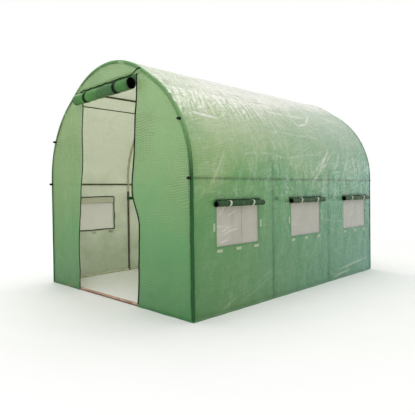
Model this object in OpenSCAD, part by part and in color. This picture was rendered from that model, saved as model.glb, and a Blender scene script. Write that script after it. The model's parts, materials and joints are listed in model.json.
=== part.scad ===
// Polytunnel greenhouse: hoops of plugged steel tube, tied by rails and ground bars, under a sewn
// sheet cover with a roll-up door in the front end and roll-up windows along both sides.
// X runs across the tunnel, Y from the front end to the rear, Z up; the origin is on the ground.

/* [Tunnel] */
// Width over the cover
width = 2000; // [1800:10:2300]
// Length over the cover
length = 3000; // [2700:10:3600]
// Height over the cover at the ridge
ridge_height = 2060; // [1950:5:2200]
// Height of the upright part of the cover
leg_height = 1065; // [1000:5:1150]
// Angle that the hoop turns through at each shoulder
haunch_angle = 54; // [50:0.5:58]
// Length of the straight haunch between shoulder and crown
haunch_length = 180; // [160:5:260]

/* [Frame] */
// Outside diameter of the hoop and ground tubes
tube_d = 25; // [22:0.5:32]
// Wall of all tubes
tube_wall = 1.5; // [1.2:0.1:2.5]
// Outside diameter of the rails and purlins
rail_d = 19; // [16:0.5:21]
// Depth of the plugged joint in each hoop leg below the shoulder bend
joint_drop = 125; // [110:5:200]
// Length of the narrowed end of a leg that plugs into the shoulder tube
leg_spigot = 60; // [40:1:70]
// Length of the narrowed ends of the crown tube that plug into the shoulder tubes
haunch_spigot = 18; // [12:1:20]
// Depth of the side rails below the shoulder bend
rail_drop = 40; // [20:1:50]

/* [Bolts] */
// Shank diameter of the bolts through the end hoops
bolt_d = 8; // [6:0.5:10]
// Diameter of the cap over each bolt end
cap_d = 22; // [16:0.5:28]
// Length of the cap over each bolt end
cap_length = 30; // [20:1:40]
// Angle up the shoulder bend at which the upper bolts sit
bolt_angle = 26; // [20:1:35]
// Length of the bolt behind the hoop
bolt_tail = 12; // [10:1:20]

/* [Cover] */
// Thickness of the cover sheet
sheet = 3; // [2:0.1:4]
// Thickness of the sewn tapes and straps
tape = 1.5; // [1:0.1:2.5]
// Width of the arch binding on the end faces
binding_face = 30; // [20:1:45]
// Width of the arch binding on the tunnel's outside
binding_side = 18; // [10:1:30]
// Height of the binding's lower ends over the ground
binding_lift = 12; // [5:1:40]

/* [Door] */
// Clear width of the doorway
door_width = 840; // [700:10:900]
// Depth of the front panel over the doorway, from the ridge to its seam
header_drop = 160; // [130:5:200]
// Depth of the band sewn along that seam
header_band = 20; // [12:1:30]
// Width of the slide-fastener tape down each door edge
zip_width = 28; // [18:1:40]
// Length of the rolled door
door_roll_length = 810; // [750:10:920]
// Outside radius of the rolled door
door_roll_r = 50; // [40:1:60]
// Turns in the rolled door
door_turns = 5; // [3:1:6]
// Drop from the header seam to the middle of the rolled door
door_drop = 105; // [70:1:110]
// Width of the door straps
door_strap = 24; // [20:1:45]
// Distance from the middle of the doorway to the near strap on the left
door_strap_left = 235; // [150:5:350]
// Distance from the middle of the doorway to the near strap on the right
door_strap_right = 200; // [120:5:350]

/* [Windows] */
// Width of the window openings
window_width = 520; // [400:10:600]
// Height of the window openings
window_height = 350; // [250:10:420]
// Depth of the window heads below the shoulder bend
window_drop = 200; // [120:5:220]
// Distance between the middles of neighbouring windows
window_pitch = 1028; // [920:1:1060]
// How far the middle window sits behind the middle of the tunnel
window_shift = 50; // [0:5:90]
// Overlap of the insect net round each opening
net_overlap = 15; // [8:1:25]
// Length of the rolled window flaps
flap_length = 590; // [540:10:680]
// Outside radius of the rolled window flaps
flap_r = 24; // [20:1:30]
// Turns in each rolled window flap
flap_turns = 3; // [2:1:4]
// Drop from a flap's seam to the middle of its roll
flap_drop = 34; // [32:1:60]
// Height of the flap seam over the window opening
flap_seam = 4; // [0:1:20]
// Width of the window straps
flap_strap = 20; // [15:1:35]
// Distance between the two straps of a window
flap_strap_span = 290; // [200:5:400]
// Long side of the closing patches round a window
patch_long = 60; // [40:1:80]
// Short side of the closing patches round a window
patch_short = 22; // [15:1:30]
// Distance of the closing patches from the opening
patch_margin = 22; // [10:1:40]

/* [Ties] */
// Depth of the cover ties on the inner hoops below the shoulder bend
tie_drop = 205; // [150:5:280]
// Width of the cover ties
tie_width = 34; // [20:1:50]
// Reach of each tie's sewn end beyond its hoop
tie_reach = 85; // [60:1:120]

/* [Fits] */
// Clearance between pieces that lie against each other
gap = 0.3; // [0.2:0.05:0.4]
// Room between the turns of a roll, over the sheet's thickness
roll_room = 2; // [1.5:0.1:2.5]

/* [Hidden] */
$fn = 96;
bays = 3;
c = cos(haunch_angle);
s = sin(haunch_angle);
// Two tangent arcs and the straight haunch between them meet the width and the ridge height
across = width / 2 - haunch_length * s;
upward = ridge_height - leg_height - haunch_length * c;
arc_share = 1 - c - s;
shoulder_r = (across * (1 - s) - upward * c) / arc_share;
crown_r = ((1 - c) * upward - s * across) / arc_share;
shoulder_x = width / 2 - shoulder_r;
crown_z = ridge_height - crown_r;
// Heights down from the ridge and from the shoulder bend
header_height = ridge_height - header_drop;
leg_joint = leg_height - joint_drop;
rail_height = leg_height - rail_drop;
window_sill = leg_height - window_drop - window_height;
tie_height = leg_height - tie_drop;
// The frame stands inside the cover
tube_r = tube_d / 2;
hoop_inset = sheet + gap + tube_r;
leg_x = width / 2 - hoop_inset;
hoop_shoulder_r = shoulder_r - hoop_inset;
hoop_crown_r = crown_r - hoop_inset;
spigot_r = tube_r - tube_wall - gap;
// The rolled door stands proud of the front, so the tunnel is set back to centre the whole
front_proud = 3 * gap + 2 * tape + 2 * door_roll_r;
rear_proud = 2 * gap + tape + cap_length;
front_y = (front_proud - rear_proud - length) / 2;
rear_y = front_y + length;
first_hoop = front_y + hoop_inset;
bay = (length - 2 * hoop_inset) / bays;
hoop_y = [for (i = [0:bays]) first_hoop + i * bay];
window_y = [for (i = [0:bays - 1])
    front_y + length / 2 + window_shift + (i - (bays - 1) / 2) * window_pitch];
// Bolt places on the right-hand side of a hoop, as x and z
rail_bolt = [leg_x, rail_height];
bend_bolt = [shoulder_x, leg_height] + hoop_shoulder_r * [cos(bolt_angle), sin(bolt_angle)];
bolt_hole_r = bolt_d / 2 + gap;
nut_r = 1.8 * bolt_d / 2;
// Rolled pieces
door_roll_y = front_y - 2 * gap - tape - door_roll_r;
door_roll_z = header_height - door_drop;
flap_z = window_sill + window_height + flap_seam - flap_drop;
flap_x = width / 2 + 2 * gap + tape + flap_r;
roll_step = 15;
strap_end = 28;

module both_sides() {
    children();
    mirror([1, 0, 0]) children();
}

// Straight tube along Z
module tube(d, h) {
    difference() {
        cylinder(d = d, h = h);
        translate([0, 0, -1]) cylinder(d = d - 2 * tube_wall, h = h + 2);
    }
}

// Straight tube along Z whose upper end is narrowed to plug into the next tube
module plug_tube(h, spigot) {
    bore_r = tube_r - tube_wall;
    rotate_extrude() polygon([
        [bore_r, 0], [tube_r, 0], [tube_r, h], [spigot_r, h], [spigot_r, h + spigot],
        [spigot_r - tube_wall, h + spigot], [spigot_r - tube_wall, h - 2 * tube_wall],
        [bore_r, h - 2 * tube_wall]
    ]);
}

// Tube bent to radius r about Y, from the X axis up through angle a
module bent_tube(r, a) {
    rotate([90, 0, 0]) rotate_extrude(angle = a) translate([r, 0]) difference() {
        circle(tube_r);
        circle(tube_r - tube_wall);
    }
}

// Curved sheet of outside radius r about Y, from the X axis up through angle a
module bent_sheet(r, a) {
    translate([0, rear_y, 0]) rotate([90, 0, 0]) rotate_extrude(angle = a)
        translate([r - sheet, 0]) square([sheet, length]);
}

module hoop_legs(y) {
    color("#8d867c") both_sides() translate([leg_x, y, 0]) plug_tube(leg_joint, leg_spigot);
}

// Holes through an end hoop for its bolts
module bolt_holes() {
    for (p = [rail_bolt, bend_bolt])
        translate([p[0], tube_d, p[1]]) rotate([90, 0, 0]) cylinder(r = bolt_hole_r, h = 2 * tube_d);
}

module shoulder_tube() {
    translate([leg_x, 0, leg_joint + gap]) tube(tube_d, leg_height - leg_joint - gap);
    translate([shoulder_x, 0, leg_height]) bent_tube(hoop_shoulder_r, haunch_angle);
}

module hoop_shoulders(y, bolted) {
    color("#8d867c") both_sides() translate([0, y, 0]) difference() {
        shoulder_tube();
        if (bolted) bolt_holes();
    }
}

module hoop_crown(y) {
    color("#8d867c") translate([0, y, crown_z]) {
        rotate([0, -haunch_angle, 0]) bent_tube(hoop_crown_r, 180 - 2 * haunch_angle);
        both_sides() rotate([0, -haunch_angle, 0]) translate([hoop_crown_r, 0, 0])
            rotate([180, 0, 0]) plug_tube(haunch_length - gap, haunch_spigot);
    }
}

// Rails between the hoops along Y, their ends coped to the hoop tubes
module side_rail() {
    for (i = [0:bays - 1]) difference() {
        translate([leg_x, hoop_y[i + 1], rail_height]) rotate([90, 0, 0]) tube(rail_d, bay);
        for (y = [hoop_y[i], hoop_y[i + 1]])
            translate([leg_x, y, rail_height - rail_d]) cylinder(r = tube_r + gap, h = 2 * rail_d);
    }
}

// Purlins at the upper end of the straight haunch
module purlin() {
    translate([0, 0, crown_z]) rotate([0, -haunch_angle, 0]) translate([hoop_crown_r, 0, 0])
        for (i = [0:bays - 1]) difference() {
            translate([0, hoop_y[i + 1], 0]) rotate([90, 0, 0]) tube(rail_d, bay);
            for (y = [hoop_y[i], hoop_y[i + 1]])
                translate([0, y, -rail_d]) cylinder(r = tube_r + gap, h = 2 * rail_d);
        }
}

// Bars on the ground between the hoop legs
module side_ground_bar() {
    for (i = [0:bays - 1])
        translate([leg_x, hoop_y[i + 1] - tube_r - gap, tube_r])
            rotate([90, 0, 0]) tube(tube_d, bay - tube_d - 2 * gap);
}

module end_ground_bar(y) {
    reach = leg_x - tube_r - gap;
    color("#b39c8b") translate([-reach, y, tube_r]) rotate([0, 90, 0]) tube(tube_d, 2 * reach);
}

// One bolt through an end hoop: its cap is outside the end panel, its nut behind the hoop
module cap_bolt(nut) {
    head = hoop_inset + 2 * gap + tape;
    translate([0, -head, 0]) rotate([90, 0, 0]) rotate_extrude() polygon([
        [0, 0], [cap_d / 2, 0], [cap_d / 2, 0.75 * cap_length], [cap_d / 3, cap_length], [0, cap_length]
    ]);
    translate([0, tube_r + bolt_tail, 0]) rotate([90, 0, 0])
        cylinder(d = bolt_d, h = tube_r + bolt_tail + head);
    if (nut) translate([0, tube_r + bolt_d, 0]) rotate([90, 0, 0])
        cylinder(r = nut_r, h = bolt_d - gap, $fn = 6);
}

module end_bolts() {
    color("#1c1c1a") both_sides() {
        translate([rail_bolt[0], 0, rail_bolt[1]]) cap_bolt(false);
        translate([bend_bolt[0], 0, bend_bolt[1]]) cap_bolt(true);
    }
}

// Right-hand wall sheet from the ground over the shoulder to the seam at the foot of the haunch
module wall_cover() {
    difference() {
        union() {
            translate([width / 2 - sheet, front_y, 0]) cube([sheet, length, leg_height]);
            translate([shoulder_x, 0, leg_height]) bent_sheet(shoulder_r, haunch_angle);
        }
        for (y = window_y)
            translate([width / 2 - 2 * sheet, y - window_width / 2, window_sill])
                cube([3 * sheet, window_width, window_height]);
    }
}

module roof() {
    translate([0, 0, crown_z]) {
        rotate([0, -haunch_angle, 0]) bent_sheet(crown_r, 180 - 2 * haunch_angle);
        both_sides() rotate([0, -haunch_angle, 0])
            translate([crown_r - sheet, front_y, gap - haunch_length])
                cube([sheet, length, haunch_length - gap]);
    }
}

module sector(r, a0, a1) {
    am = (a0 + a1) / 2;
    intersection() {
        circle(r, $fn = 720);
        polygon([
            [0, 0], 2 * r * [cos(a0), sin(a0)], 2 * r * [cos(am), sin(am)], 2 * r * [cos(a1), sin(a1)]
        ]);
    }
}

// Outline of the tunnel's end, drawn inside the cover by inset
module arch_area(inset) {
    a = width / 2 - inset;
    p = [shoulder_x, leg_height] + (shoulder_r - inset) * [c, s];
    q = [0, crown_z] + (crown_r - inset) * [c, s];
    polygon([
        [-a, 0], [a, 0], [a, leg_height], p, q, [-q[0], q[1]], [-p[0], p[1]], [-a, leg_height]
    ]);
    both_sides() translate([shoulder_x, leg_height]) sector(shoulder_r - inset, 0, haunch_angle);
    translate([0, crown_z]) sector(crown_r - inset, haunch_angle, 180 - haunch_angle);
}

// End sheet whose outer face is at y, with eyelets for the bolts
module end_sheet(y) {
    translate([0, y, 0]) rotate([90, 0, 0]) linear_extrude(sheet) difference() {
        intersection() {
            arch_area(sheet + gap);
            children();
        }
        both_sides() for (p = [rail_bolt, bend_bolt]) translate(p) circle(bolt_hole_r);
    }
}

module side_panel_area() {
    translate([door_width / 2, 0]) square([width, header_height - gap]);
}

// Angled tape swept round the arch, over the end of the cover and its end panel
module binding_profile() {
    polygon([
        [-binding_face, -gap - tape], [gap + tape, -gap - tape], [gap + tape, binding_side],
        [gap, binding_side], [gap, -gap], [-binding_face, -gap]
    ]);
}

module arch_binding() {
    both_sides() difference() {
        union() {
            translate([width / 2, 0, binding_lift])
                linear_extrude(leg_height - binding_lift) binding_profile();
            translate([shoulder_x, 0, leg_height]) bent_binding(shoulder_r, haunch_angle);
        }
        bolt_holes();
    }
    translate([0, 0, crown_z]) {
        rotate([0, -haunch_angle, 0]) bent_binding(crown_r, 180 - 2 * haunch_angle);
        both_sides() rotate([0, -haunch_angle, 0]) translate([crown_r, 0, gap - haunch_length])
            linear_extrude(haunch_length - gap) binding_profile();
    }
}

module bent_binding(r, a) {
    rotate([90, 0, 0]) rotate_extrude(angle = a) translate([r, 0]) mirror([0, 1]) binding_profile();
}

// Spiral section of a rolled sheet that comes down to the roll from a seam at height drop
module roll_section(r, turns, drop, thick) {
    pitch = thick + roll_room;
    steps = turns * 360 / roll_step;
    polygon(concat(
        [[r, drop]],
        [for (i = [0:steps]) (r - pitch * i / steps * turns) * [cos(i * roll_step), -sin(i * roll_step)]],
        [for (i = [steps:-1:0])
            (r - thick - pitch * i / steps * turns) * [cos(i * roll_step), -sin(i * roll_step)]],
        [[r - thick, drop]]
    ));
}

// Strap that comes down behind a roll of radius r, passes under it and closes over it
module strap_section(r, drop) {
    inner = r + gap;
    translate([inner, 0]) square([tape, drop]);
    difference() {
        circle(inner + tape);
        circle(inner);
        polygon([[0, 0], [3 * r, 0], 3 * r * [1, tan(strap_end)]]);
    }
}

// Stands a section drawn in Y and Z upright, extruded along X about its middle
module along_x(w) {
    rotate([90, 0, 90]) translate([0, 0, -w / 2]) linear_extrude(w) children();
}

// Stands a section drawn towards the right-hand wall upright, extruded along Y about its middle
module along_y(w) {
    rotate([90, 0, 0]) translate([0, 0, -w / 2]) linear_extrude(w) mirror([1, 0]) children();
}

module window_nets() {
    wide = window_width + 2 * net_overlap;
    for (y = window_y)
        translate([width / 2 - sheet - gap - tape, y - wide / 2, window_sill - net_overlap])
            cube([tape, wide, window_height + 2 * net_overlap]);
}

module window_rolls() {
    for (y = window_y) translate([flap_x, y, flap_z])
        along_y(flap_length) roll_section(flap_r, flap_turns, flap_drop, tape);
}

module window_straps() {
    for (y = window_y, side = [-1, 1])
        translate([flap_x, y + side * flap_strap_span / 2, flap_z])
            along_y(flap_strap) strap_section(flap_r, flap_drop);
}

// Closing patches: along the foot of each window and halfway up its sides
module window_patches() {
    face = width / 2 + gap;
    reach = window_width / 2 + patch_margin;
    low = window_sill - patch_margin - patch_short;
    side_low = window_sill + window_height / 3;
    for (y = window_y) {
        for (k = [-1:1])
            translate([face, y + k * (window_width - patch_long) / 2 - patch_long / 2, low])
                cube([tape, patch_long, patch_short]);
        for (k = [-1, 1])
            translate([face, y + k * (reach + patch_short / 2) - patch_short / 2, side_low])
                cube([tape, patch_short, patch_long]);
    }
}

// Tie round the inside of a hoop leg, with its sewn end flat against the cover
module tie(y) {
    translate([leg_x, y, tie_height - tie_width / 2]) linear_extrude(tie_width) {
        difference() {
            circle(tube_r + gap + tape);
            circle(tube_r + gap);
            translate([tube_r, -tube_d]) square(2 * tube_d);
        }
        translate([tube_r - tape, (tube_r + gap + tape) / 2]) square([tape, tie_reach]);
    }
}

module side_ties() {
    for (i = [1:bays - 1]) tie(hoop_y[i]);
}

module hoop_1_legs() { hoop_legs(hoop_y[0]); }
module hoop_1_shoulders() { hoop_shoulders(hoop_y[0], true); }
module hoop_1_crown() { hoop_crown(hoop_y[0]); }
module hoop_2_legs() { hoop_legs(hoop_y[1]); }
module hoop_2_shoulders() { hoop_shoulders(hoop_y[1], false); }
module hoop_2_crown() { hoop_crown(hoop_y[1]); }
module hoop_3_legs() { hoop_legs(hoop_y[2]); }
module hoop_3_shoulders() { hoop_shoulders(hoop_y[2], false); }
module hoop_3_crown() { hoop_crown(hoop_y[2]); }
module hoop_4_legs() { hoop_legs(hoop_y[3]); }
module hoop_4_shoulders() { hoop_shoulders(hoop_y[3], true); }
module hoop_4_crown() { hoop_crown(hoop_y[3]); }

module left_rail() { color("#8d867c") mirror([1, 0, 0]) side_rail(); }
module right_rail() { color("#8d867c") side_rail(); }
module left_purlin() { color("#8d867c") mirror([1, 0, 0]) purlin(); }
module right_purlin() { color("#8d867c") purlin(); }
module left_ground_bar() { color("#8d867c") mirror([1, 0, 0]) side_ground_bar(); }
module right_ground_bar() { color("#8d867c") side_ground_bar(); }
module front_ground_bar() { end_ground_bar(hoop_y[0]); }
module rear_ground_bar() { end_ground_bar(hoop_y[bays]); }
module front_bolts() { translate([0, hoop_y[0], 0]) end_bolts(); }
module rear_bolts() { translate([0, hoop_y[bays], 0]) mirror([0, 1, 0]) end_bolts(); }

module left_wall_cover() { color("#7fa877") mirror([1, 0, 0]) wall_cover(); }
module right_wall_cover() { color("#7fa877") wall_cover(); }
module roof_cover() { color("#7fa877") roof(); }
module front_left_panel() {
    color("#8fb283") end_sheet(front_y + sheet) mirror([1, 0]) side_panel_area();
}
module front_right_panel() {
    color("#8fb283") end_sheet(front_y + sheet) side_panel_area();
}
module front_top_panel() {
    color("#8fb283") end_sheet(front_y + sheet)
        translate([-width, header_height]) square([2 * width, ridge_height]);
}
module rear_panel() {
    color("#8fb283") end_sheet(rear_y) translate([-width, 0]) square([2 * width, ridge_height]);
}
module front_binding() { color("#2f5f36") translate([0, front_y, 0]) arch_binding(); }
module rear_binding() { color("#2f5f36") translate([0, rear_y, 0]) mirror([0, 1, 0]) arch_binding(); }

module door_zips() {
    color("#2f5f36") both_sides()
        translate([door_width / 2, front_y - gap - tape, binding_lift])
            cube([zip_width, tape, header_height - header_band - gap - binding_lift]);
}

module door_header() {
    color("#2f5f36") translate([0, front_y - gap, 0]) rotate([90, 0, 0]) linear_extrude(tape)
        intersection() {
            arch_area(binding_face + gap);
            translate([-width, header_height - header_band]) square([2 * width, 2 * header_band]);
        }
}

module door_roll() {
    rise = door_drop - header_band - gap;
    color("#4f7f4c") translate([0, door_roll_y, door_roll_z])
        along_x(door_roll_length) roll_section(door_roll_r, door_turns, rise, sheet / 2);
}

module door_straps() {
    rise = door_drop - header_band - gap;
    color("#1c1c1a") for (x = [-door_strap_left, door_strap_right])
        translate([x, door_roll_y, door_roll_z])
            along_x(door_strap) strap_section(door_roll_r, rise);
}

module left_window_nets() { color("#b8b2a8") mirror([1, 0, 0]) window_nets(); }
module right_window_nets() { color("#b8b2a8") window_nets(); }
module left_window_rolls() { color("#4f7f4c") mirror([1, 0, 0]) window_rolls(); }
module right_window_rolls() { color("#4f7f4c") window_rolls(); }
module left_window_straps() { color("#c9d3bd") mirror([1, 0, 0]) window_straps(); }
module right_window_straps() { color("#c9d3bd") window_straps(); }
module left_window_patches() { color("#c9d3bd") mirror([1, 0, 0]) window_patches(); }
module right_window_patches() { color("#c9d3bd") window_patches(); }
module left_ties() { color("#2f5f36") mirror([1, 0, 0]) side_ties(); }
module right_ties() { color("#2f5f36") side_ties(); }

hoop_1_legs();
hoop_1_shoulders();
hoop_1_crown();
hoop_2_legs();
hoop_2_shoulders();
hoop_2_crown();
hoop_3_legs();
hoop_3_shoulders();
hoop_3_crown();
hoop_4_legs();
hoop_4_shoulders();
hoop_4_crown();
left_rail();
right_rail();
left_purlin();
right_purlin();
left_ground_bar();
right_ground_bar();
front_ground_bar();
rear_ground_bar();
front_bolts();
rear_bolts();
left_wall_cover();
right_wall_cover();
roof_cover();
front_left_panel();
front_right_panel();
front_top_panel();
rear_panel();
front_binding();
rear_binding();
door_zips();
door_header();
door_roll();
door_straps();
left_window_nets();
right_window_nets();
left_window_rolls();
right_window_rolls();
left_window_straps();
right_window_straps();
left_window_patches();
right_window_patches();
left_ties();
right_ties();
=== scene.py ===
# %% [markdown]
# # A walk-in polytunnel under woven film
#
# The real thing is a frame of thin steel tubes with a sewn cover pulled over it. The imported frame
# already holds the tubes, bars and bolts at their true size, so they stay and only get a finish. The
# cover, its rolled flaps, nets and tapes are soft, so each gets a sheet of its own here, laid where
# its solid is. All sizes are in metres, and what can be read from the frame is read from it.

# %% Frame and driving sizes
import json
import math

import bpy
import numpy as np
from mathutils import Matrix, Vector


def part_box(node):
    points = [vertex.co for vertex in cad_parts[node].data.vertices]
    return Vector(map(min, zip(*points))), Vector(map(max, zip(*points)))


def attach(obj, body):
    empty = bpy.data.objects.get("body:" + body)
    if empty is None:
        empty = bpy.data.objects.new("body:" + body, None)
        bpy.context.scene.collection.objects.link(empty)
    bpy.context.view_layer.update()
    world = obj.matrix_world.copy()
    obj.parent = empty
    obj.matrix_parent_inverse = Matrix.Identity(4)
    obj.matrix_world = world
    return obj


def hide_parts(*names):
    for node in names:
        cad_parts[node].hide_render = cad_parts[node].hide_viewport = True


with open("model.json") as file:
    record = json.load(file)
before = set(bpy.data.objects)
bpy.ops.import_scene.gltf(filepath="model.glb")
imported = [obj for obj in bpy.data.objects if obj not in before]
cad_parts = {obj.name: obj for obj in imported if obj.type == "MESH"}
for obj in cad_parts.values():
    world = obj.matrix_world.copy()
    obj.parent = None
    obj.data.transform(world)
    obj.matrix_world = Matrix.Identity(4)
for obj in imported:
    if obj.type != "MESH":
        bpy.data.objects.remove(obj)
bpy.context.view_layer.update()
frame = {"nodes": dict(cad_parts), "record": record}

MM = 0.001
front_y, rear_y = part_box("roof_cover")[0].y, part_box("roof_cover")[1].y
half_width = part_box("right_wall_cover")[1].x
ridge_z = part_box("roof_cover")[1].z
bend_z = 1065 * MM
haunch = math.radians(54)
haunch_length = 180 * MM
hoop_y = [sum(corner.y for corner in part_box(f"hoop_{i}_legs")) / 2 for i in (1, 2, 3, 4)]
rail_z = sum(corner.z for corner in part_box("right_rail")) / 2
print("tunnel", round(2 * half_width, 3), "wide", round(rear_y - front_y, 3), "long")

# %% [markdown]
# ## The arch
#
# Seen from the end, the cover is an upright leg, a wide shoulder bend, a short straight haunch and a
# crown, each running smoothly into the next. The two radii follow from the width and the ridge
# height, so one function of the distance along the cloth gives any place on it. Measuring from the
# ridge keeps left and right alike, and the distance doubles as the cloth's own flat coordinate.

# %% Arch as a function of the distance from the ridge
cos_h, sin_h = math.cos(haunch), math.sin(haunch)
reach_x = half_width - haunch_length * sin_h
reach_z = ridge_z - bend_z - haunch_length * cos_h
share = 1 - cos_h - sin_h
shoulder_r = (reach_x * (1 - sin_h) - reach_z * cos_h) / share
crown_r = ((1 - cos_h) * reach_z - sin_h * reach_x) / share
shoulder_x = half_width - shoulder_r
crown_z = ridge_z - crown_r
crown_end = crown_r * (math.pi / 2 - haunch)
seam_at = crown_end + haunch_length
bend_at = seam_at + shoulder_r * haunch
ground_at = bend_at + bend_z
ARCH_POINTS = 4000


def arch(distance, lift=0.0):
    """Places (x, z) at distances from the ridge along the cover, lifted off it by lift."""
    d = np.abs(distance)
    crown = np.pi / 2 - d / crown_r
    bend = haunch - (d - seam_at) / shoulder_r
    along = d - crown_end
    parts = [d < crown_end, d < seam_at, d < bend_at]
    out_x = np.select(parts, [np.cos(crown), cos_h + 0 * d, np.cos(bend)], 1.0)
    out_z = np.select(parts, [np.sin(crown), sin_h + 0 * d, np.sin(bend)], 0.0)
    haunch_x = crown_r * cos_h + along * sin_h
    haunch_z = crown_z + crown_r * sin_h - along * cos_h
    bend_x = shoulder_x + shoulder_r * np.cos(bend)
    x = np.select(parts, [crown_r * np.cos(crown), haunch_x, bend_x], half_width)
    z = np.select(
        parts,
        [crown_z + crown_r * np.sin(crown), haunch_z, bend_z + shoulder_r * np.sin(bend)],
        bend_z - (d - bend_at),
    )
    side = np.where(np.asarray(distance) < 0, -1.0, 1.0)
    return side * (x + lift * out_x), z + lift * out_z


def arch_half_width(z, inset):
    """Half the arch's width at height z, drawn inside the cover by inset."""
    x, height = arch(np.linspace(ground_at, 0.0, ARCH_POINTS), -inset)
    return np.interp(z, height, x)


def arch_height(x, inset):
    """Height of the arch over x, drawn inside the cover by inset."""
    across, height = arch(np.linspace(0.0, bend_at, ARCH_POINTS), -inset)
    return np.interp(np.abs(x), across, height)


print("cover", round(2 * ground_at, 3), "over the arch, bends of", round(shoulder_r, 3), round(crown_r, 3))

# %% [markdown]
# ## Helpers
#
# A few small tools do most of the work: one adds a shader or geometry node, one turns an sRGB hex
# colour into the linear numbers that shaders take, and one turns a grid of points into a sheet with
# its flat size in metres as the UV map, so that a woven pattern follows the cloth.

# %% Node and colour helpers


def add(tree, kind, inputs=(), out=0, **settings):
    """Adds a node and gives its output out, or the node itself for None.

    Inputs are values or the sockets that feed them, in order or by their names and numbers.
    """
    node = tree.nodes.new(kind)
    for key, value in settings.items():
        setattr(node, key, value)
    for key, value in inputs.items() if isinstance(inputs, dict) else enumerate(inputs):
        if isinstance(value, bpy.types.NodeSocket):
            tree.links.new(value, node.inputs[key])
        else:
            node.inputs[key].default_value = value
    return node if out is None else node.outputs[out]


def blank_material(name):
    """A new material and its emptied node tree."""
    material = bpy.data.materials.new(name)
    material.use_nodes = True
    material.node_tree.nodes.clear()
    return material, material.node_tree


def linear(colour):
    """Linear red, green, blue and alpha of an sRGB hex colour."""
    parts = [int(colour[i : i + 2], 16) / 255 for i in (1, 3, 5)]
    return [p / 12.92 if p <= 0.04045 else ((p + 0.055) / 1.055) ** 2.4 for p in parts] + [1.0]


print("mid grey is", round(linear("#808080")[0], 3), "in linear light")

# %% Mesh and cloth helpers
SLACK_POINTS, SLACK_SOFT = 600, 40


def put(name, points, faces, material, smooth=True):
    """A mesh piece whose place is in its points."""
    mesh = bpy.data.meshes.new(name)
    mesh.from_pydata(np.asarray(points).tolist(), [], [list(f) for f in faces])
    mesh.polygons.foreach_set("use_smooth", [smooth] * len(mesh.polygons))
    if material:
        mesh.materials.append(material)
    piece = bpy.data.objects.new(name, mesh)
    bpy.context.scene.collection.objects.link(piece)
    return piece


def sheet(name, points, metres, material, keep=None, flip=False, **marks):
    """A sheet from a grid of points: its UV map is the cloth's flat size, marks are values on its points."""
    rows, cols = points.shape[:2]
    at = np.arange(rows * cols).reshape(rows, cols)
    quads = np.stack([at[:-1, :-1], at[1:, :-1], at[1:, 1:], at[:-1, 1:]], axis=-1)
    quads = (quads if keep is None else quads[keep]).reshape(-1, 4)
    used, corners = np.unique(quads, return_inverse=True)
    corners = corners.reshape(-1, 4)[:, :: -1 if flip else 1]
    piece = put(name, points.reshape(-1, 3)[used], corners, material)
    layer = piece.data.uv_layers.new(name="metres")
    layer.data.foreach_set("uv", metres.reshape(-1, 2)[used][corners.ravel()].ravel())
    for mark, values in marks.items():
        piece.data.attributes.new(mark, "FLOAT", "POINT").data.foreach_set("value", values.ravel()[used])
    return piece


def dress(piece, node=None):
    """Ties a piece to the frame, and hides the solid it stands for."""
    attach(piece, "root")
    if node:
        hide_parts(node)


def blur_step(x, low, high):
    """Smooth step from 0 at low to 1 at high."""
    t = np.clip((np.asarray(x) - low) / (high - low), 0, 1)
    return t * t * (3 - 2 * t)


def bell(off, width):
    """Soft bell that is 1 where off is 0."""
    return np.exp(-((off / width) ** 2))


def slack_line(points, at):
    """A slack line through a few (place, value) points, smoothed like cloth."""
    place, value = np.array(points, float).T
    fine = np.linspace(place[0], place[-1], SLACK_POINTS)
    run = np.interp(fine, place, value)
    window = np.hanning(2 * SLACK_SOFT + 1)
    run = np.convolve(np.pad(run, SLACK_SOFT, mode="edge"), window / window.sum(), mode="valid")
    return np.interp(at, fine, run)


print("halfway up a soft step", float(blur_step(0.5, 0, 1)))

# %% [markdown]
# ## Woven film
#
# The cover is tarpaulin film: polyethylene tape woven open, with a thin clear coat on both sides and
# a coarser reinforcing grid. Light goes partly through it, so it glows pale from inside and looks
# deeper green from outside. A mix of a glossy coated shader, a translucent one and a little plain
# transparency gives that. The grid is drawn from the sheet's own metres; the real one, of 10 mm or
# so, is too fine to show here, so it is drawn at 18 mm.

# %% Grid and crinkles of the film
GRID = 18 * MM
GRID_LINE = 5 * MM
SWAY = 26 * MM
SWAY_LENGTH = 323 * MM
STREAK = 130 * MM
CREST = 0.09


def film_grid(tree, flat, place):
    """1 on the reinforcing threads, which sway a little."""
    waver = add(tree, "ShaderNodeTexNoise", {"Vector": place, "Scale": 1 / SWAY_LENGTH, "Detail": 1.0})
    waver = add(tree, "ShaderNodeMapRange", [waver, 0.3, 0.7, -SWAY, SWAY])
    threads = []
    for way in (0, 1):
        swayed = add(tree, "ShaderNodeMath", [flat[way], waver], operation="ADD")
        cells = add(tree, "ShaderNodeMath", [swayed, 1 / GRID], operation="MULTIPLY")
        near = add(tree, "ShaderNodeMath", [cells, 0.5], operation="PINGPONG")
        span = [near, 0.0, GRID_LINE / GRID, 1.0, 0.0]
        threads.append(add(tree, "ShaderNodeMapRange", span, interpolation_type="SMOOTHSTEP"))
    return add(tree, "ShaderNodeMath", threads, operation="MAXIMUM")


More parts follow.
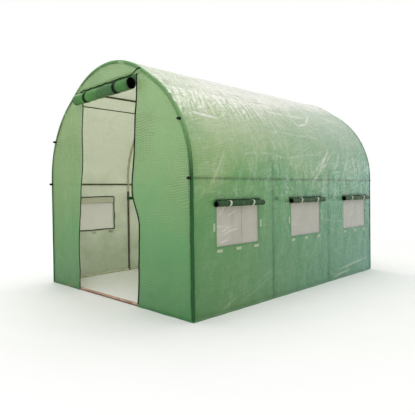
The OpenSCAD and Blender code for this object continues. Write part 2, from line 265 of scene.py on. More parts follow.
def film_crinkle(tree, flat):
    """High along the thin creases of packed film: noise drawn out two ways and folded at its middle."""
    crests = []
    for upright, lengthways in ((0.3, 1.0), (1.0, 0.35)):
        across = add(tree, "ShaderNodeMath", [flat[1], upright], operation="MULTIPLY")
        along = add(tree, "ShaderNodeMath", [flat[0], lengthways, across], operation="MULTIPLY_ADD")
        drawn = add(tree, "ShaderNodeCombineXYZ", [along, across])
        streak = add(
            tree,
            "ShaderNodeTexNoise",
            {"Vector": drawn, "Scale": 1 / STREAK, "Detail": 3.0, "Roughness": 0.55, "Distortion": 1.0},
        )
        off = add(tree, "ShaderNodeMath", [streak, 0.5], operation="SUBTRACT")
        off = add(tree, "ShaderNodeMath", [off], operation="ABSOLUTE")
        span = [off, 0.0, CREST, 1.0, 0.0]
        crests.append(add(tree, "ShaderNodeMapRange", span, interpolation_type="SMOOTHSTEP"))
    return add(tree, "ShaderNodeMath", crests, operation="ADD")


print("film grid", GRID, "m, crinkles of about", STREAK, "m")

# %% Film material
PATCH = 435 * MM
BLOTCH = 526 * MM
CRUMPLE = 55 * MM
SLUMP = 210 * MM
SHADE_SOFT = 20 * MM
# Tints: a painted cool reflection, random bluish blotches, painted shade lines and the white of painted
# sheen.
COOL_REFLECTION, BLUISH, SHADE_LINE_TINT, SHEEN_WHITE = "#419c93", "#d6fff2", "#5f9264", "#eeede4"
PALE_INSIDE, BARE, DEEP_SHADE = "#f1f5e4", "#dfe9d2", "#080c07"


def film(
    name,
    heights,
    lines,
    gloss,
    through,
    clear=0.0,
    crest_sheen_strength=0.0,
    cool_reflection=0.0,
    glow="#e9e3d0",
    inside=None,
    dark_after=None,
    left_shade=None,
    shine=0.5,
):
    """Film whose colour runs up through heights, darker with painted shade low down and paler with painted
    sheen high up; dark_after is the run after which a roll is in shade.
    """
    material, tree = blank_material(name)
    metres = add(tree, "ShaderNodeUVMap", uv_map="metres")
    flat = add(tree, "ShaderNodeSeparateXYZ", [metres], out=None).outputs
    place = add(tree, "ShaderNodeTexCoord", out="Object")
    x, y, z = add(tree, "ShaderNodeSeparateXYZ", [place], out=None).outputs
    patchy = add(tree, "ShaderNodeTexNoise", {"Vector": place, "Scale": 1 / PATCH, "Detail": 3.0})

    # The grid shows in patches, and the creases are sharper higher up, where a painted sheen also whitens
    # their crests.
    shows = add(tree, "ShaderNodeMapRange", [patchy, 0.35, 0.65, 0.15, 1.0])
    grid = add(tree, "ShaderNodeMath", [film_grid(tree, flat, place), shows], operation="MULTIPLY")
    crinkle = film_crinkle(tree, flat)
    up_the_wall = add(tree, "ShaderNodeMapRange", [z, 0.5, 1.25, 0.4, 1.0])
    sharp = add(tree, "ShaderNodeMath", [crinkle, up_the_wall], operation="MULTIPLY")
    # Painted sheen along the crinkle crests.
    crest_sheen = add(tree, "ShaderNodeMath", [crinkle, patchy], operation="MULTIPLY")
    crest_sheen = add(tree, "ShaderNodeMapRange", [crest_sheen, 0.3, 1.1, 0.0, crest_sheen_strength])
    crest_sheen = add(tree, "ShaderNodeMath", [crest_sheen, up_the_wall], operation="MULTIPLY")

    # Green runs up through the heights, with a patchy edge from one to the next: painted shade low down,
    # painted sheen high up.
    rise = add(tree, "ShaderNodeMapRange", [z, 0.0, ridge_z, 0.0, 1.0])
    shift = add(tree, "ShaderNodeMapRange", [patchy, 0.3, 0.7, -0.14, 0.14])
    level = add(tree, "ShaderNodeMath", [rise, shift], operation="ADD")
    ramp = add(tree, "ShaderNodeValToRGB", [level], out=None)
    stops = ramp.color_ramp.elements
    while len(stops) < len(heights):
        stops.new(1.0)
    for stop, (height, colour) in zip(stops, heights):
        stop.position = height / ridge_z
        stop.color = linear(colour)

    # Tints are laid over it one by one: a painted cool reflection to the rear, stronger on the right,
    # threads, painted shade lines, and the white of painted sheen on haze, folds and crests.
    rearward = add(tree, "ShaderNodeMapRange", [y, -1.0, rear_y, 0.0, cool_reflection])
    rightward = add(tree, "ShaderNodeMapRange", [x, -0.4, 0.4, 0.4, 1.0])
    rearward = add(tree, "ShaderNodeMath", [rearward, rightward], operation="MULTIPLY")
    blotch = add(tree, "ShaderNodeTexNoise", {"Vector": place, "Scale": 1 / BLOTCH, "Detail": 2.0})
    blotch = add(tree, "ShaderNodeMapRange", [blotch, 0.48, 0.72, 0.0, 0.4])
    tints = [(rearward, COOL_REFLECTION, "MIX"), (blotch, BLUISH, "MULTIPLY"), (grid, lines, "MULTIPLY")]
    # A painted shade dulls the back-lit left side.
    if left_shade:
        leftward = add(tree, "ShaderNodeMapRange", [x, -0.2, -0.6, 0.0, 1.0])
        tints.append((leftward, left_shade, "MULTIPLY"))
    # Painted shade lines and painted sheen come as values on the sheet's points.
    pressed = add(tree, "ShaderNodeAttribute", out="Fac", attribute_name="press")
    bloom = add(tree, "ShaderNodeAttribute", out="Fac", attribute_name="bloom")
    whitened = add(tree, "ShaderNodeMath", [bloom, crest_sheen], operation="ADD", use_clamp=True)
    tints += [(pressed, SHADE_LINE_TINT, "MULTIPLY"), (whitened, SHEEN_WHITE, "MIX")]
    surface = ramp.outputs[0]
    for amount, tint, blend in tints:
        layer = {0: amount, 6: surface, 7: linear(tint)}
        surface = add(tree, "ShaderNodeMix", layer, out=2, data_type="RGBA", blend_type=blend)
    # The inside face runs from a painted shade low down to pale film higher up.
    if inside:
        back = add(tree, "ShaderNodeNewGeometry", out="Backfacing")
        lifted = add(tree, "ShaderNodeMapRange", [level, 0.05, 0.52, 0.0, 1.0])
        layer = {0: lifted, 6: linear(inside), 7: linear(PALE_INSIDE)}
        pale = add(tree, "ShaderNodeMix", layer, out=2, data_type="RGBA")
        surface = add(tree, "ShaderNodeMix", {0: back, 6: surface, 7: pale}, out=2, data_type="RGBA")
    if dark_after:
        shade = add(tree, "ShaderNodeMapRange", [flat[1], dark_after, dark_after + SHADE_SOFT, 0.0, 1.0])
        layer = {0: shade, 6: surface, 7: linear(DEEP_SHADE)}
        surface = add(tree, "ShaderNodeMix", layer, out=2, data_type="RGBA")

    # Broad slumps, crumples, sharp creases and the threads lift the surface, each on the last.
    crumple = {"Vector": place, "Scale": 1 / CRUMPLE, "Detail": 2.0, "Roughness": 0.45}
    crumple = add(tree, "ShaderNodeTexNoise", crumple)
    slump = {"Vector": place, "Scale": 1 / SLUMP, "Detail": 1.0, "Distortion": 0.8}
    slump = add(tree, "ShaderNodeTexNoise", slump)
    normal = {}
    for strength, depth, form in (
        (0.5, 30 * MM, slump),
        (0.6, 8 * MM, crumple),
        (0.6, 4.5 * MM, sharp),
        (0.2, 0.5 * MM, grid),
    ):
        bump = {"Strength": strength, "Distance": depth, "Height": form, **normal}
        normal = {"Normal": add(tree, "ShaderNodeBump", bump)}

    # The clear coat is polyethylene, and part of the light goes through.
    rough = add(tree, "ShaderNodeMapRange", [patchy, 0.3, 0.7, gloss, gloss + 0.12])
    coat = {"Base Color": surface, "Roughness": rough, "IOR": 1.5, "Specular IOR Level": shine, **normal}
    coat = add(tree, "ShaderNodeBsdfPrincipled", coat)
    lit = add(tree, "ShaderNodeBsdfTranslucent", {"Color": linear(glow), **normal})
    whole = add(tree, "ShaderNodeMixShader", [through, coat, lit])
    if clear:
        bare = add(tree, "ShaderNodeBsdfTransparent", {"Color": linear(BARE)})
        whole = add(tree, "ShaderNodeMixShader", [clear, whole, bare])
    add(tree, "ShaderNodeOutputMaterial", [whole], out=None)
    return material


# Woven film, pulled tight: glossy, deep green with painted shade low down, pale with painted sheen above, and
# a painted cool reflection towards the rear.
wall_film = film(
    "wall film",
    [(0.0, "#2b783b"), (0.5, "#398642"), (1.0, "#519548"), (1.3, "#7fa961"), (1.7, "#a8c086")],
    lines="#c9d8c2",
    gloss=0.16,
    through=0.2,
    clear=0.03,
    crest_sheen_strength=0.13,
    cool_reflection=0.7,
    glow="#e0e6cb",
    inside="#6b804f",
)
# The same film on the ends, hanging slack: duller, paler, and its grid shows more; painted shade darkens it
# low down and dulls its back-lit left side.
front_film = film(
    "front film",
    [(0.0, "#33894d"), (0.45, "#56a261"), (1.2, "#8dbc7d"), (1.9, "#a2c88f")],
    lines="#86aa80",
    gloss=0.33,
    through=0.18,
    clear=0.05,
    crest_sheen_strength=0.04,
    inside="#6b804f",
    left_shade="#f7f5e6",
)
print("films", [m.name for m in (wall_film, front_film)])

# %% [markdown]
# ## Slackness of the cover
#
# Film never lies flat: it is pulled over the hoops and sinks a little between them, hangs in soft
# upright folds on the walls, and keeps the creases it was packed with. A cloth simulation would give
# folds at random; here each kind of slackness is a height over the arch that is added up at every
# point, so that the long creases can lie where they are on the real cover.

# %% Ripples and creases as heights
chance = np.random.default_rng(11)


def ripple(u, v, count, lengths, height):
    """Random soft waves of the given wavelengths."""
    total = np.zeros(np.shape(u))
    for _ in range(count):
        turn, phase = chance.uniform(0, 2 * np.pi, 2)
        wave = 2 * np.pi / chance.uniform(*lengths)
        total += np.sin(wave * (u * np.cos(turn) + v * np.sin(turn)) + phase)
    return height * total / math.sqrt(count)


def creases(u, v, marks):
    """Straight creases: each mark is a start, an end, a width and a height."""
    total = np.zeros(np.shape(u))
    for u0, v0, u1, v1, width, height in marks:
        length = math.hypot(u1 - u0, v1 - v0)
        du, dv = (u1 - u0) / length, (v1 - v0) / length
        reach = length / 2 + 3 * width
        near = (np.abs(u - (u0 + u1) / 2) < reach) & (np.abs(v - (v0 + v1) / 2) < reach)
        pu, pv = u[near] - u0, v[near] - v0
        along = (pu * du + pv * dv) / length
        ends = blur_step(along, -0.05, 0.3) * blur_step(-along, -1.05, -0.7)
        total[near] += height * ends * bell(pu * dv - pv * du, width)
    return total


def scattered(count, u_range, v_range, lean, spread, lengths, widths, heights):
    """Random creases that lean about one direction, for the film's crumpled look."""
    marks = []
    for _ in range(count):
        u, v = chance.uniform(*u_range), chance.uniform(*v_range)
        turn = lean + chance.normal(0, spread)
        half = chance.uniform(*lengths) / 2
        du, dv = half * math.cos(turn), half * math.sin(turn)
        height = chance.uniform(*heights) * chance.choice([-1, 1])
        marks.append((u - du, v - dv, u + du, v + dv, chance.uniform(*widths), height))
    return marks


print("creases and ripples ready")

# %% Sag and folds between the hoops
SAG = 4 * MM
FOLD = 1.8 * MM
FOLD_PITCH = 230 * MM
HOOP_RIDGE = 110 * MM
# How far the film may sink on a tube, and how much farther between the tubes of the roof.
TUBE_ROOM, BAY_ROOM = 2 * MM, 3 * MM


def to_nearest(y, places):
    """Distance from y to the nearest of some places."""
    return np.min([np.abs(y - p) for p in places], axis=0)


def hang(d, y, extra=0.0):
    """How far the cover lies out from its true arch, or in from it, and never into the tubes."""
    between = 1 - bell(to_nearest(y, hoop_y), HOOP_RIDGE)
    on_wall = blur_step(np.abs(d), bend_at - 0.2, bend_at + 0.1)
    sag = -SAG * between * (1 - on_wall)
    folds = FOLD * on_wall * between * (1 + np.sin(2 * np.pi * y / FOLD_PITCH + 2.5 * np.sin(3 * d)))
    return np.maximum(sag + folds + extra, -TUBE_ROOM - BAY_ROOM * between * (1 - on_wall))


print("sag", SAG, "and folds", 2 * FOLD, "m deep between hoops")

# %% [markdown]
# ## Walls and roof
#
# The tunnel sheet is one long curve over the hoops. It is sewn from three pieces with seams at the
# foot of the haunch, so it is laid as three grids along the arch and along the tunnel. The grid lines
# are placed on the edges of the windows, so that leaving out the faces between them cuts true openings.

# %% Windows and grid lines
window_wide, window_high = 520 * MM, 350 * MM
window_top = bend_z - 200 * MM
window_sill = window_top - window_high
window_pitch = 1028 * MM
window_shift = 50 * MM
window_y = [(front_y + rear_y) / 2 + window_shift + k * window_pitch for k in (-1, 0, 1)]
window_edges = [y + k * window_wide / 2 for y in window_y for k in (-1, 1)]
edges_y = sorted([front_y, rear_y, *window_edges])


def spaced(stops, step):
    """Places from the first stop to the last, near step apart, that include every stop."""
    runs = [np.linspace(a, b, max(1, round((b - a) / step)) + 1)[:-1] for a, b in zip(stops, stops[1:])]
    return np.concatenate([*runs, [stops[-1]]])


def in_window(d, y):
    """True where the middle of a grid face lies in a window opening."""
    z = ground_at - np.abs(d)
    return (to_nearest(y, window_y) < window_wide / 2) & (z > window_sill) & (z < window_top)


print("windows at", [round(y, 3) for y in window_y])

# %% [markdown]
# ### Pleats and white folds
#
# Where the film is gathered below the roof seam it hangs in pleats, and where it was folded hard it
# has turned white, with a painted highlight along the fold. The ones that stand out are listed, and
# random ones fill in between. Places are a distance from the ridge along the cover and a y along the tunnel.

# %% Pleats and white folds
# Pleats that hang from the seam on the near side: start and end.
PLEATS = [
    (0.74, -1.24, 1.04, -1.33),
    (0.72, -1.06, 1.03, -1.20),
    (0.90, -0.90, 1.10, -0.91),
    (0.87, -0.79, 1.11, -0.85),
    (0.84, -0.66, 1.10, -0.69),
    (0.77, -0.52, 1.10, -0.55),
    (0.88, -0.51, 1.07, -0.41),
    (0.86, -0.24, 1.05, -0.21),
    (0.94, -0.28, 1.09, -0.15),
]
# Sharp folds, whitened by folding and brightened with painted highlights: start, end and how white.
WHITE_FOLDS = [
    (0.80, -1.475, 1.03, -1.455, 0.45),
    (0.82, -1.45, 1.04, -1.42, 0.4),
    (0.86, -1.42, 1.03, -1.37, 0.35),
    (1.066, -1.335, 1.094, -1.02, 1.0),
    (0.80, 0.68, 0.985, 0.40, 0.9),
    (0.985, 0.42, 1.03, 0.20, 0.9),
    (0.885, -0.20, 0.90, 0.12, 0.8),
    (0.90, 0.10, 0.885, 0.50, 0.7),
    (1.39, -1.09, 1.66, -1.28, 0.3),
    (1.24, 0.65, 1.52, 0.31, 0.45),
    (1.33, 0.56, 1.67, 0.16, 0.35),
    (1.28, 0.86, 1.52, 0.64, 0.3),
    (1.31, 1.03, 1.53, 0.85, 0.4),
    (1.31, 1.14, 1.53, 1.14, 0.5),
    (1.33, 1.25, 1.52, 1.24, 0.4),
    (1.34, 1.42, 1.53, 1.42, 0.6),
    (1.27, 0.63, 1.58, 0.16, 0.3),
    (1.285, 0.70, 1.61, 0.23, 0.25),
    (1.383, -0.84, 1.366, -0.62, 0.2),
    (1.366, -0.62, 1.374, -0.41, 0.22),
    (1.374, -0.41, 1.40, -0.23, 0.25),
    (1.40, -0.23, 1.36, 0.1, 0.22),
    (1.36, 0.1, 1.33, 0.47, 0.18),
    (1.158, -0.40, 1.14, -0.17, 0.25),
    (1.14, -0.17, 1.155, 0.03, 0.28),
    (1.155, 0.03, 1.15, 0.3, 0.22),
    (1.15, 0.3, 1.162, 0.52, 0.22),
    (1.162, 0.52, 1.26, 0.62, 0.2),
    (1.24, -0.52, 1.35, -0.53, 0.2),
    (1.22, -0.41, 1.34, -0.37, 0.25),
    (1.22, -0.30, 1.335, -0.24, 0.2),
    (1.18, -0.14, 1.31, -0.16, 0.2),
    (1.20, 0.10, 1.34, 0.06, 0.2),
    (0.795, 0.83, 0.838, 1.38, 0.35),
    (2.57, -0.95, 2.43, -0.53, 0.1),
    (2.59, -1.18, 2.50, -0.94, 0.12),
    (2.49, -0.82, 2.33, -0.42, 0.07),
    (2.52, 0.70, 2.46, 1.43, 0.4),
    (2.58, 0.62, 2.54, 1.02, 0.4),
]
crumples = np.random.default_rng(31)


def loose_pleats(draw, count, d_range, y_range, lengths, lean_at, widths, heights):
    """Random pleats; lean_at gives each one's lean from its place along the tunnel."""
    found = []
    for _ in range(count):
        d0, y0, length = draw.uniform(*d_range), draw.uniform(*y_range), draw.uniform(*lengths)
        lean = lean_at(y0)
        end = (d0 + length * math.cos(lean), y0 + length * math.sin(lean))
        found.append((d0, y0, *end, draw.uniform(*widths), draw.uniform(*heights)))
    return found


wall_marks = scattered(
    160,
    (seam_at, ground_at),
    (front_y, rear_y),
    lean=0.2,
    spread=0.8,
    lengths=(0.05, 0.26),
    widths=(6 * MM, 10 * MM),
    heights=(0.6 * MM, 2 * MM),
)
roof_marks = scattered(
    110,
    (-seam_at, seam_at),
    (front_y, rear_y),
    lean=0.3,
    spread=0.6,
    lengths=(0.08, 0.35),
    widths=(8 * MM, 15 * MM),
    heights=(0.8 * MM, 2.5 * MM),
)
pleats = [(*p, 9 * MM, 4 * MM) for p in PLEATS]
pleats += loose_pleats(
    chance,
    80,
    (0.7, 0.93),
    (front_y, 0.6),
    (0.14, 0.34),
    lean_at=lambda y: 0.45 * (y + 0.65) + chance.normal(0, 0.12),
    widths=(6 * MM, 11 * MM),
    heights=(2 * MM, 4.5 * MM),
)
pleats += loose_pleats(
    crumples,
    44,
    (0.78, 0.98),
    (front_y, -0.15),
    (0.08, 0.2),
    lean_at=lambda y: crumples.uniform(-1.0, 1.4),
    widths=(7 * MM, 11 * MM),
    heights=(3 * MM, 6 * MM),
)
left_marks = [(-u0, v0, -u1, v1, width, height) for u0, v0, u1, v1, width, height in wall_marks[:120]]
print(len(pleats), "pleats,", len(WHITE_FOLDS), "white folds,", len(wall_marks + roof_marks), "creases")

# %% [markdown]
# ### Painted sheen and shade lines
#
# A painted sheen whitens the roof to a haze that ends in streaks below the seam, and painted shade
# darkens the film where it lies on a tube or is doubled. Both are values on the sheet's points,
# which the film's shader reads. A painted picture would do it too, but values follow the cloth's size.

# %% Painted sheen and shade lines
# The haze ends at this distance from the ridge, and its densest part at the second, at each y.
HAZE_ENDS = [(-1.5, 1.0), (-0.9, 1.06), (-0.4, 1.09), (0.1, 0.95), (0.6, 0.84), (1.1, 0.76), (1.55, 0.70)]
HAZE_CROWN = [(-1.5, 0.68), (-0.9, 0.77), (-0.5, 0.82), (0.0, 0.76), (0.6, 0.70), (1.55, 0.70)]
HAZE_FALL = 120 * MM
HAZE_STREAK, HAZE_SOFT = 72 * MM, 40 * MM
HAZE_THIN, HAZE_DENSE, HAZE_TAIL = 0.56, 0.4, 0.35
FRONT_CLEARER = 0.44
# Half breadths of the painted shade lines over rails, purlins and legs.
RAIL_LINE, BAND_LINE, LEG_LINE = 9 * MM, 15 * MM, 13 * MM
HEM = 30 * MM
VALLEY = 17 * MM
FOLD_WIDE = 8 * MM
ROOF_BAND = 758 * MM
BAND_END = 0.3
BAND_DARK, BAND_DARK_LONG = -0.23, 60 * MM
TAB = 36 * MM
TAB_OFF = 60 * MM
tie_z = bend_z - 205 * MM


def roof_sheen(d, y):
    """Painted sheen of the roof: a white haze, full over the crown, and streaked where it ends below the
    seam.
    """
    off = np.abs(d)
    streaks = ripple(y + 0.25 * (off - seam_at), 0 * d, 14, (0.03, 0.25), 1.0)
    near = (d > 0) * (1 - blur_step(y, 0.0, 0.6))
    ends = slack_line(HAZE_ENDS, y) + (HAZE_SOFT + (HAZE_STREAK - HAZE_SOFT) * near) * streaks
    crown = slack_line(HAZE_CROWN, y)
    full = HAZE_THIN + HAZE_DENSE * (1 - blur_step(off, crown, crown + HAZE_FALL))
    full -= FRONT_CLEARER * (1 - blur_step(y, -1.2, -0.55)) * (1 - blur_step(off, 0.74, 0.8))
    tail = HAZE_TAIL * (1 - blur_step(off, seam_at, bend_at + 0.1))
    start, stop = ends - 0.3 + 0.1 * near, ends + 0.12 - 0.07 * near
    return np.maximum(full * (1 - blur_step(off, start, stop)), tail)


def sheen_on_pleats(d, y, folds):
    """Painted sheen that the pleats break up: painted highlights on their crests, painted shade in the
    valleys beside them.
    """
    haze = roof_sheen(d, y)
    crests = np.clip(creases(d, y, [(*f[:5], 1.0) for f in folds]), 0, 1)
    beside = [(f[0], f[1] + VALLEY, f[2], f[3] + VALLEY, FOLD_WIDE, 1.0) for f in folds]
    valleys = np.clip(creases(d, y, beside), 0, 1) * (np.abs(d) > ROOF_BAND)
    return haze * (1 - 0.85 * valleys) + 0.75 * crests * (0.3 + 0.7 * haze)


def pressed_lines(d, y, z):
    """Painted shade lines where the film lies on rail and inner legs, over its hem and on the tabs of the
    ties.
    """
    lines = bell(z - rail_z, RAIL_LINE) + 0.45 * bell(to_nearest(y, hoop_y[1:3]), LEG_LINE)
    lines += 0.3 * bell(z - HEM, RAIL_LINE)
    for hoop in hoop_y[1:3]:
        lines += 1.25 * (np.abs(y - hoop - TAB_OFF) < TAB / 2) * (np.abs(z - tie_z) < TAB / 2)
    return lines * blur_step(np.abs(d), bend_at - 0.25, bend_at)


def purlin_shade_line(d, y):
    """Painted shade line where the front of the roof lies on a purlin, darkest at one place."""
    line = bell(np.abs(d) - ROOF_BAND, BAND_LINE) * (y < BAND_END)
    return line * (0.4 + 0.6 * bell(y - BAND_DARK, BAND_DARK_LONG))


print("haze reaches", max(end for _, end in HAZE_ENDS), "m from the ridge")

# %% Wall and roof sheets
COVER_IN = 1.2 * MM
SEAM_LAP = 14 * MM
GROUND_ROOM = 0.5 * MM
ROOF_LIFT = 1 * MM
WHITE_RISE = 3 * MM
NEAR_STEP, ROOF_STEP, FAR_STEP = 8.2 * MM, 11 * MM, 14 * MM


def cover_sheet(name, stops, step, lift, marks, folds):
    """One piece of the tunnel sheet, between distances from the ridge."""
    d, y = np.meshgrid(spaced(stops, step), spaced(edges_y, step), indexing="ij")
    # Folds whitened by hard folding, with painted highlights along them.
    white = np.clip(creases(d, y, [(*f[:4], FOLD_WIDE, f[4]) for f in WHITE_FOLDS]), 0, 1)
    bloom = sheen_on_pleats(d, y, folds) + white
    extra = ripple(d, y, 14, (0.12, 0.35), 0.7 * MM) + creases(d, y, marks + folds) + WHITE_RISE * white
    x, z = arch(d, lift - COVER_IN + hang(d, y, extra))
    # Painted shade lines where the film lies over rail, legs, tabs, hem and purlin.
    purlin = purlin_shade_line(d, y)
    press = pressed_lines(d, y, z) + purlin
    # The purlin's painted shade line dims the painted sheen, and a faint painted sheen lies along the hem.
    bloom = bloom * (1 - 0.8 * purlin) + 0.07 * (1 - blur_step(z, HEM - 16 * MM, HEM - 4 * MM))
    middle = [(a[:-1, :-1] + a[1:, 1:]) / 2 for a in (d, y)]
    return sheet(
        name,
        np.stack([x, y, np.maximum(z, GROUND_ROOM)], axis=-1),
        np.stack([y, d], axis=-1),
        wall_film,
        ~in_window(*middle),
        bloom=np.clip(bloom, 0, 0.97),
        press=np.clip(0.8 * press, 0, 1),
    )


wall_stops = [seam_at - SEAM_LAP, ground_at - window_top, ground_at - window_sill, ground_at]
right_wall = cover_sheet("right_wall_sheet", wall_stops, NEAR_STEP, 0.0, wall_marks, pleats)
left_stops = [-s for s in reversed(wall_stops)]
left_wall = cover_sheet("left_wall_sheet", left_stops, FAR_STEP, 0.0, left_marks, [])
roof = cover_sheet("roof_sheet", [-seam_at, seam_at], ROOF_STEP, ROOF_LIFT, roof_marks, pleats)
cover_pieces = {"right_wall_cover": right_wall, "left_wall_cover": left_wall, "roof_cover": roof}
for node, piece in cover_pieces.items():
    dress(piece, node)
    print(piece.name, len(piece.data.polygons), "faces")

# %% [markdown]
# ## End panels
#
# The front is cut in three: a panel on each side of the doorway and one over it. The free edges by
# the doorway hang slack, so each panel is a grid between a slack line and the arch. The rear end is
# one plain sheet, whose columns run up to the arch.

# %% Panels beside the doorway
header_z = ridge_z - 160 * MM
PANEL_IN = 4 * MM
PANEL_STEP = 12 * MM
PANEL_BACK = 1 * MM
PANEL_CREASES = dict(
    spread=0.6, lengths=(0.08, 0.3), widths=(8 * MM, 16 * MM), heights=(0.5 * MM, 1.5 * MM)
)
SWELL, SWELL_PITCH = 3 * MM, 310 * MM
EDGE_WAVE, EDGE_PITCH, EDGE_WIDE = 4 * MM, 550 * MM, 70 * MM
# Slack edges of the doorway: height and x.
RIGHT_DOOR_EDGE = [
    (0, 0.384),
    (0.39, 0.412),
    (0.70, 0.411),
    (0.91, 0.332),
    (1.07, 0.342),
    (1.67, 0.396),
    (1.9, 0.40),
]
LEFT_DOOR_EDGE = [(0, -0.48), (0.63, -0.474), (1.15, -0.40), (1.74, -0.37), (1.9, -0.372)]


def panel_swell(x, z, marks):
    """How far an end panel swells outwards."""
    swell = SWELL * np.sin(2 * np.pi * x / SWELL_PITCH + 1.7 * z) * blur_step(np.abs(x), 0.98, 0.8)
    return swell + ripple(x, z, 12, (0.1, 0.3), 0.8 * MM) + creases(x, z, marks)


def side_panel(name, edge, side):
    """A front panel between its door edge and the arch, and the line of that edge."""
    z = np.linspace(GROUND_ROOM, header_z, round(header_z / PANEL_STEP) + 1)
    inner = slack_line(edge, z)
    span = side * arch_half_width(z, PANEL_IN) - inner
    across = np.linspace(0, 1, 52)
    x = inner[:, None] + span[:, None] * across
    heights = np.repeat(z[:, None], len(across), axis=1)
    marks = scattered(40, (0.35, 1.0), (0, 1.8), lean=1.2, **PANEL_CREASES)
    marks = [(side * a, b, side * c, d, width, height) for a, b, c, d, width, height in marks]
    loose = bell(across * np.abs(span)[:, None], EDGE_WIDE)
    y = front_y + PANEL_BACK - panel_swell(x, heights, marks)
    y = y + loose * EDGE_WAVE * np.sin(2 * np.pi * heights / EDGE_PITCH)
    points = np.stack([x, y, heights], axis=-1)
    panel = sheet(name, points, points[..., [0, 2]], front_film, flip=side > 0)
    return panel, points[:, 0]


right_panel, right_edge = side_panel("front_right_sheet", RIGHT_DOOR_EDGE, 1)
left_panel, left_edge = side_panel("front_left_sheet", LEFT_DOOR_EDGE, -1)
print("doorway", round(right_edge[0, 0] - left_edge[0, 0], 3), "m wide at the ground")

# %% Panel over the doorway and rear panel
top_reach = float(arch_half_width(header_z, PANEL_IN)) - 1 * MM
rear_reach = half_width - PANEL_IN


def standing_panel(name, y_at, x, bottom, outward):
    """An end sheet whose columns stand on a line and run up to the arch."""
    top = arch_height(x, PANEL_IN)
    up = np.linspace(0, 1, round((top.max() - bottom) / PANEL_STEP) + 1)
    heights = bottom + (top - bottom)[:, None] * up
    across = np.repeat(x[:, None], len(up), axis=1)
    marks = scattered(60, (-1.0, 1.0), (bottom, 2.0), lean=1.4, **PANEL_CREASES)
    y = y_at + outward * panel_swell(across, heights, marks)
    points = np.stack([across, y, heights], axis=-1)
    return sheet(name, points, points[..., [0, 2]], front_film, flip=outward > 0)


top_columns = np.linspace(-top_reach, top_reach, 80)
rear_columns = np.linspace(-rear_reach, rear_reach, 150)
top_panel = standing_panel("front_top_sheet", front_y + PANEL_BACK, top_columns, header_z - 8 * MM, -1)
rear_panel = standing_panel("rear_sheet", rear_y - PANEL_BACK, rear_columns, GROUND_ROOM, 1)
# Each panel, the solid it stands for, its flat size, and its area where the arch cuts it.
panel_places = [
    (right_panel, "front_right_panel", (0.62, header_z), 0.93),
    (left_panel, "front_left_panel", (0.62, header_z), 0.90),
    (top_panel, "front_top_panel", (2 * top_reach, ridge_z - header_z), 0.106),
    (rear_panel, "rear_panel", (2 * half_width, ridge_z), 3.66),
]
for piece, node, flat_size, area in panel_places:
    dress(piece, node)
    print(piece.name, len(piece.data.polygons), "faces")

# %% [markdown]
# ## Woven tape, webbing and thread
#
# The tapes that bind the edges, the black webbing of the straps and the pale hook-and-loop strips are
# all narrow weaves. One recipe covers them: a wave of fine ribs lifts the surface and darkens the
# joints between threads, and a fuzzy noise keeps the colour from being even. The ribs are drawn at
# 4 mm, coarser than real webbing, so that they show.

# %% Woven materials
RIB = 4 * MM
FUZZ = 8 * MM
# Stretches over which a tape takes its painted shade colours, to the left and downwards.
LEFT_SHADE_FADE, LOW_SHADE_FADE = (-0.1, -0.7), (1.45, 1.05)


def weave(name, colour, shade, rough, low=None, left=None):
    """Narrow woven cloth: ribs that lift, shaded joints, and maybe painted shade colours low down and to the
    left.
    """
    material, tree = blank_material(name)
    place = add(tree, "ShaderNodeTexCoord", out="Object")
    x, _, z = add(tree, "ShaderNodeSeparateXYZ", [place], out=None).outputs
    # A rib and the joint beside it are each RIB wide along an axis.
    wave = {"Vector": place, "Scale": 2 * math.pi / (20 * RIB), "Distortion": 1.5, "Detail": 1.0}
    ribs = add(tree, "ShaderNodeTexWave", wave, out="Fac", bands_direction="DIAGONAL")
    fuzz = add(tree, "ShaderNodeTexNoise", {"Vector": place, "Scale": 1 / FUZZ, "Detail": 3.0})
    both = add(tree, "ShaderNodeMath", [ribs, fuzz], operation="MULTIPLY")
    tint = add(tree, "ShaderNodeMapRange", [both, 0.1, 0.6, 0.0, 1.0])
    layer = {0: tint, 6: linear(shade), 7: linear(colour)}
    mixed = add(tree, "ShaderNodeMix", layer, out=2, data_type="RGBA")
    # Painted shade: darker down the legs, greyer on the back-lit left.
    for other, way, fade in ((left, x, LEFT_SHADE_FADE), (low, z, LOW_SHADE_FADE)):
        if other:
            amount = add(tree, "ShaderNodeMapRange", [way, *fade, 0.0, 1.0])
            layer = {0: amount, 6: mixed, 7: linear(other)}
            mixed = add(tree, "ShaderNodeMix", layer, out=2, data_type="RGBA")
    lifted = add(tree, "ShaderNodeBump", {"Strength": 0.5, "Distance": 0.8 * MM, "Height": both})
    cloth = {"Base Color": mixed, "Roughness": rough, "Normal": lifted, "Specular IOR Level": 0.15}
    cloth = add(tree, "ShaderNodeBsdfPrincipled", cloth)
    add(tree, "ShaderNodeOutputMaterial", [cloth], out=None)
    return material


# Polypropylene tape, woven flat: dull green, paler over the arch, with painted shade down the legs and a
# painted grey shade on the back-lit left.
binding_tape = weave("green binding tape", "#86ad76", "#6b9861", 0.65, low="#28552b", left="#6a8460")
# The same tape where it lies doubled on the film: a pale dull band.
header_tape = weave("pale green seam tape", "#93b37f", "#83a470", 0.65)
# Unbleached tape, and the fastener's: dark matt lines that draw the seams.
seam_tape = weave("dark green seam tape", "#24401f", "#162b14", 0.7)
edge_tape = weave("near-black edge tape", "#1c2418", "#0d110b", 0.7)
# Polyester webbing, woven thick: flat black, with hardly a sheen.
webbing = weave("black polyester webbing", "#0e100d", "#060706", 0.7)
# Nylon hook-and-loop tape, brushed: pale and quite matt.
pale_tape = weave("pale hook-and-loop tape", "#cdd6bf", "#a9b59b", 0.8)
patch_tape = weave("green hook-and-loop patch", "#c0cbb0", "#9db08c", 0.8)
# Facing tape, woven plain: an off-white matt band at the top of the net.
facing_tape = weave("pale facing tape", "#e4e3d2", "#d3d2bf", 0.8)
